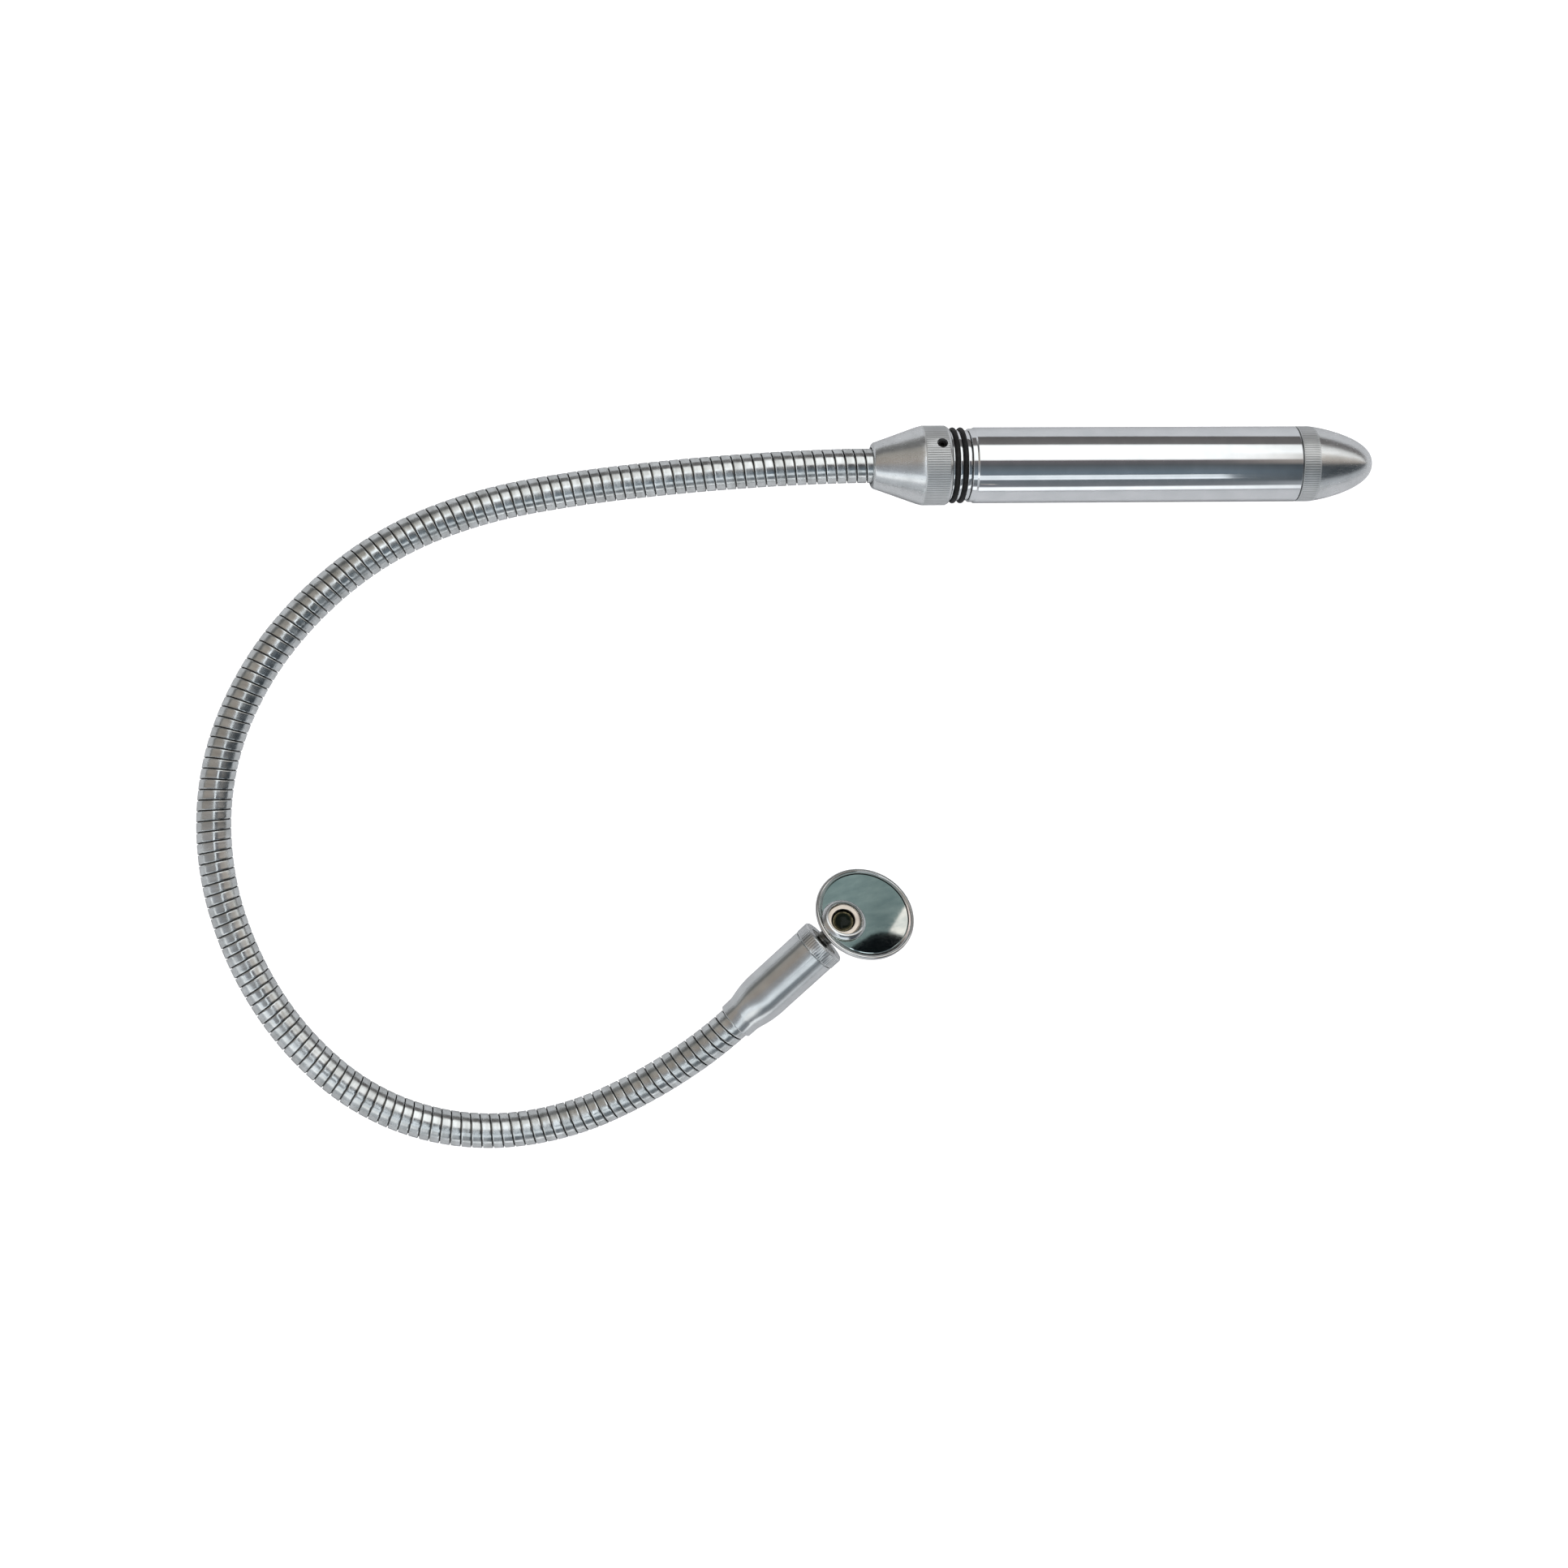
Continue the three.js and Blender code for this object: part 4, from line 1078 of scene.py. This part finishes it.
def make_floor():
    """A pale floor that the camera sees almost white."""
    half = 4000.0
    material = bpy.data.materials.new("pale_floor")
    material.use_nodes = True
    tree = material.node_tree
    shader = tree.nodes["Principled BSDF"]
    shader.inputs["Base Color"].default_value = colour(0.22, 0.222, 0.23)
    shader.inputs["Roughness"].default_value = 0.7
    shader.inputs["Specular IOR Level"].default_value = 0.1
    shader.inputs["Emission Color"].default_value = colour(1.0, 1.0, 1.0)
    path = add_node(tree, "ShaderNodeLightPath")
    glow = add_node(tree, "ShaderNodeMath", operation="MULTIPLY")
    glow.inputs[1].default_value = 0.9
    tree.links.new(path.outputs["Is Camera Ray"], glow.inputs[0])
    tree.links.new(glow.outputs["Value"], shader.inputs["Emission Strength"])
    stage_mesh("floor", [(-half, -half, 0), (half, -half, 0), (half, half, 0), (-half, half, 0)], material)


def glow_material(name, tint, strength):
    """A glow that varies softly over its sheet, about the tint."""
    material = bpy.data.materials.new(name)
    material.use_nodes = True
    tree = material.node_tree
    tree.nodes.clear()
    emission = add_node(tree, "ShaderNodeEmission")
    cloud = add_node(tree, "ShaderNodeTexNoise")
    cloud.inputs["Scale"].default_value = 1.3
    cloud.inputs["Detail"].default_value = 1.0
    place = add_node(tree, "ShaderNodeTexCoord")
    tree.links.new(place.outputs["Generated"], cloud.inputs["Vector"])
    mixed = add_node(tree, "ShaderNodeMix", data_type="RGBA")
    mixed.inputs["A"].default_value = colour(*(0.6 * part for part in tint[:3]))
    mixed.inputs["B"].default_value = colour(*(1.4 * part for part in tint[:3]))
    tree.links.new(cloud.outputs["Fac"], mixed.inputs["Factor"])
    tree.links.new(mixed.outputs["Result"], emission.inputs["Color"])
    emission.inputs["Strength"].default_value = strength
    output = add_node(tree, "ShaderNodeOutputMaterial")
    tree.links.new(emission.outputs["Emission"], output.inputs["Surface"])
    return material


COOL = colour(0.90, 0.95, 1.0)


def hide_outside_reflections(stage):
    """Leaves the sheet out of everything but reflections."""
    stage.visible_camera = False
    stage.visible_diffuse = False
    stage.visible_shadow = False


def reflected_strip(name, centre, low, high, start, end, distance, tint, strength):
    """A bright or dark strip that runs along X and shows only in reflections. It spans the angles
    low to high, in degrees from straight up towards +Y, round a centre."""
    corners = []
    for along, angle in ((start, low), (end, low), (end, high), (start, high)):
        lean = math.radians(angle)
        corners.append((along, centre.y + distance * math.sin(lean), centre.z + distance * math.cos(lean)))
    hide_outside_reflections(stage_mesh(name, corners, glow_material(name, tint, strength)))


def make_overhead_strip():
    """A bright strip straight over the neck's far side, which draws a line of light along it."""
    middle = frame_at(NECK_LENGTH / 2).translation
    half_width = 52.0
    half_length = 420.0
    height = 800.0
    corners = []
    for across, along in ((-1, -1), (1, -1), (1, 1), (-1, 1)):
        corners.append((middle.x + across * half_width, middle.y + along * half_length, height))
    hide_outside_reflections(stage_mesh("strip_over", corners, glow_material("strip_over", COOL, 1.5)))


def area_light(name, place, size, power):
    """A soft white light at a place, turned towards the middle of the floor."""
    data = bpy.data.lights.new(name, "AREA")
    data.shape = "RECTANGLE"
    data.size, data.size_y = (length * MM for length in size)
    data.energy = power
    light = bpy.data.objects.new(name, data)
    bpy.context.scene.collection.objects.link(light)
    turn = (-Vector(place)).to_track_quat("-Z", "Y").to_matrix().to_4x4()
    light.matrix_world = Matrix.Translation(Vector(place) * MM) @ turn
    light.visible_camera = False
    light.visible_glossy = False


# The room's colours over the angle from straight up, in degrees, positive towards +Y, for
# directions that lean to -X, that hardly lean, and that lean to +X.
ROOM_LEFT = [
    (-90, (0.50, 0.52, 0.55)), (-64, (0.55, 0.57, 0.60)), (-58, (1.25, 1.27, 1.30)),
    (-44, (1.1, 1.1, 1.1)), (-34, (0.36, 0.38, 0.42)), (-8, (0.30, 0.30, 0.31)),
    (10, (0.38, 0.33, 0.29)), (48, (0.36, 0.34, 0.31)), (60, (0.15, 0.15, 0.15)),
    (78, (0.17, 0.17, 0.17)), (90, (0.36, 0.36, 0.36)),
]
ROOM_MIDDLE = [
    (-90, (0.55, 0.56, 0.60)), (-86, (1.25, 1.27, 1.3)), (-77, (1.25, 1.27, 1.3)),
    (-73, (0.20, 0.21, 0.23)), (-54, (0.16, 0.18, 0.20)), (-28, (0.17, 0.21, 0.25)),
    (-6, (0.11, 0.12, 0.13)), (8, (0.16, 0.14, 0.15)), (12, (1.35, 1.35, 1.35)),
    (56, (1.35, 1.35, 1.35)), (61, (0.19, 0.18, 0.18)), (90, (0.13, 0.12, 0.12)),
]
ROOM_RIGHT = [
    (-90, (0.55, 0.57, 0.60)), (-64, (0.42, 0.44, 0.47)), (-56, (0.06, 0.07, 0.08)),
    (-8, (0.05, 0.06, 0.07)), (2, (0.46, 0.40, 0.36)), (24, (0.62, 0.58, 0.54)),
    (34, (1.15, 1.15, 1.15)), (54, (0.80, 0.80, 0.80)), (62, (0.12, 0.11, 0.11)),
    (90, (0.16, 0.15, 0.15)),
]


def room_ramp(tree, angle, stops):
    """The room's colour over the angle, which runs from 0 at -90 degrees to 1 at 90."""
    ramp = add_node(tree, "ShaderNodeValToRGB")
    elements = ramp.color_ramp.elements
    while len(elements) < len(stops):
        elements.new(0.5)
    for element, (degrees, tint) in zip(elements, stops):
        element.position = (degrees + 90) / 180
        element.color = colour(*tint)
    tree.links.new(angle, ramp.inputs["Fac"])
    return ramp.outputs["Color"]


def make_world():
    """A studio room for reflections and light, and a white background for the camera."""
    world = bpy.data.worlds.new("room")
    bpy.context.scene.world = world
    world.use_nodes = True
    tree = world.node_tree
    tree.nodes.clear()
    link = tree.links.new
    place = add_node(tree, "ShaderNodeTexCoord")
    axes = add_node(tree, "ShaderNodeSeparateXYZ")
    link(place.outputs["Generated"], axes.inputs[0])
    lean = add_node(tree, "ShaderNodeMath", operation="ARCTAN2")
    link(axes.outputs["Y"], lean.inputs[0])
    link(axes.outputs["Z"], lean.inputs[1])
    angle = add_node(tree, "ShaderNodeMapRange")
    angle.inputs["From Min"].default_value = -math.pi / 2
    angle.inputs["From Max"].default_value = math.pi / 2
    link(lean.outputs[0], angle.inputs["Value"])
    shade_of = room_ramp(tree, angle.outputs["Result"], ROOM_LEFT)
    for low, high, stops in ((-0.3, 0.02, ROOM_MIDDLE), (0.3, 0.55, ROOM_RIGHT)):
        share = add_node(tree, "ShaderNodeMapRange", interpolation_type="SMOOTHSTEP")
        share.inputs["From Min"].default_value = low
        share.inputs["From Max"].default_value = high
        link(axes.outputs["X"], share.inputs["Value"])
        mixed = add_node(tree, "ShaderNodeMix", data_type="RGBA")
        link(share.outputs["Result"], mixed.inputs["Factor"])
        link(shade_of, mixed.inputs["A"])
        link(room_ramp(tree, angle.outputs["Result"], stops), mixed.inputs["B"])
        shade_of = mixed.outputs["Result"]
    room = add_node(tree, "ShaderNodeBackground")
    link(shade_of, room.inputs["Color"])
    plain = add_node(tree, "ShaderNodeBackground")
    plain.inputs["Color"].default_value = colour(1.0, 1.0, 1.0)
    path = add_node(tree, "ShaderNodeLightPath")
    chosen = add_node(tree, "ShaderNodeMixShader")
    output = add_node(tree, "ShaderNodeOutputWorld")
    link(path.outputs["Is Camera Ray"], chosen.inputs["Fac"])
    link(room.outputs["Background"], chosen.inputs[1])
    link(plain.outputs["Background"], chosen.inputs[2])
    link(chosen.outputs["Shader"], output.inputs["Surface"])


def mirror_card(name, outline, distance, tint):
    """A card that shows only in reflections, where the main view sees it in the mirror. Its outline
    is in millimetres from the mirror's middle, to the right and up as seen from above."""
    middle = MIRROR_CENTRE.translation
    normal = MIRROR_CENTRE.to_3x3().col[0]
    eye = AIM + CAMERA_OFFSET
    corners = []
    for right, up in outline:
        drop = -(normal.x * right + normal.y * up) / normal.z
        point = middle + Vector((right, up, drop))
        corners.append(point + distance * (point - eye).normalized().reflect(normal))
    hide_outside_reflections(stage_mesh(name, corners, glow_material(name, tint, 1.0)))


def make_mirror_cards():
    reach = 14.5
    grey = [(-reach, -reach), (reach, -reach), (reach, reach), (-reach, reach)]
    wedge = [(5.4, -4.7), (reach, -7.6), (reach, 6.6)]
    dark = [(-3.4, -7.5), (0.9, -5.3), (3.3, -4.8), (5.4, -5.0), (9.7, -6.2), (reach, -7.6)]
    dark += [(reach, -reach), (-reach, -reach), (-8.0, -10.0)]
    mirror_card("card_grey", grey, 62.0, colour(0.205, 0.250, 0.247))
    mirror_card("card_wedge", wedge, 58.0, colour(1.14, 1.0, 0.94))
    mirror_card("card_dark", dark, 55.0, colour(0.002, 0.003, 0.004))


make_floor()
make_world()
reflected_strip("strip_side", NOSE_FACE, -36, -50, -900, 400, 800.0, COOL, 1.1)
make_overhead_strip()
make_mirror_cards()
area_light("key", (200, 500, 900), (700, 500), 22.0)
area_light("fill", (-300, -700, 800), (900, 600), 14.0)
bpy.context.scene.view_settings.view_transform = "Standard"
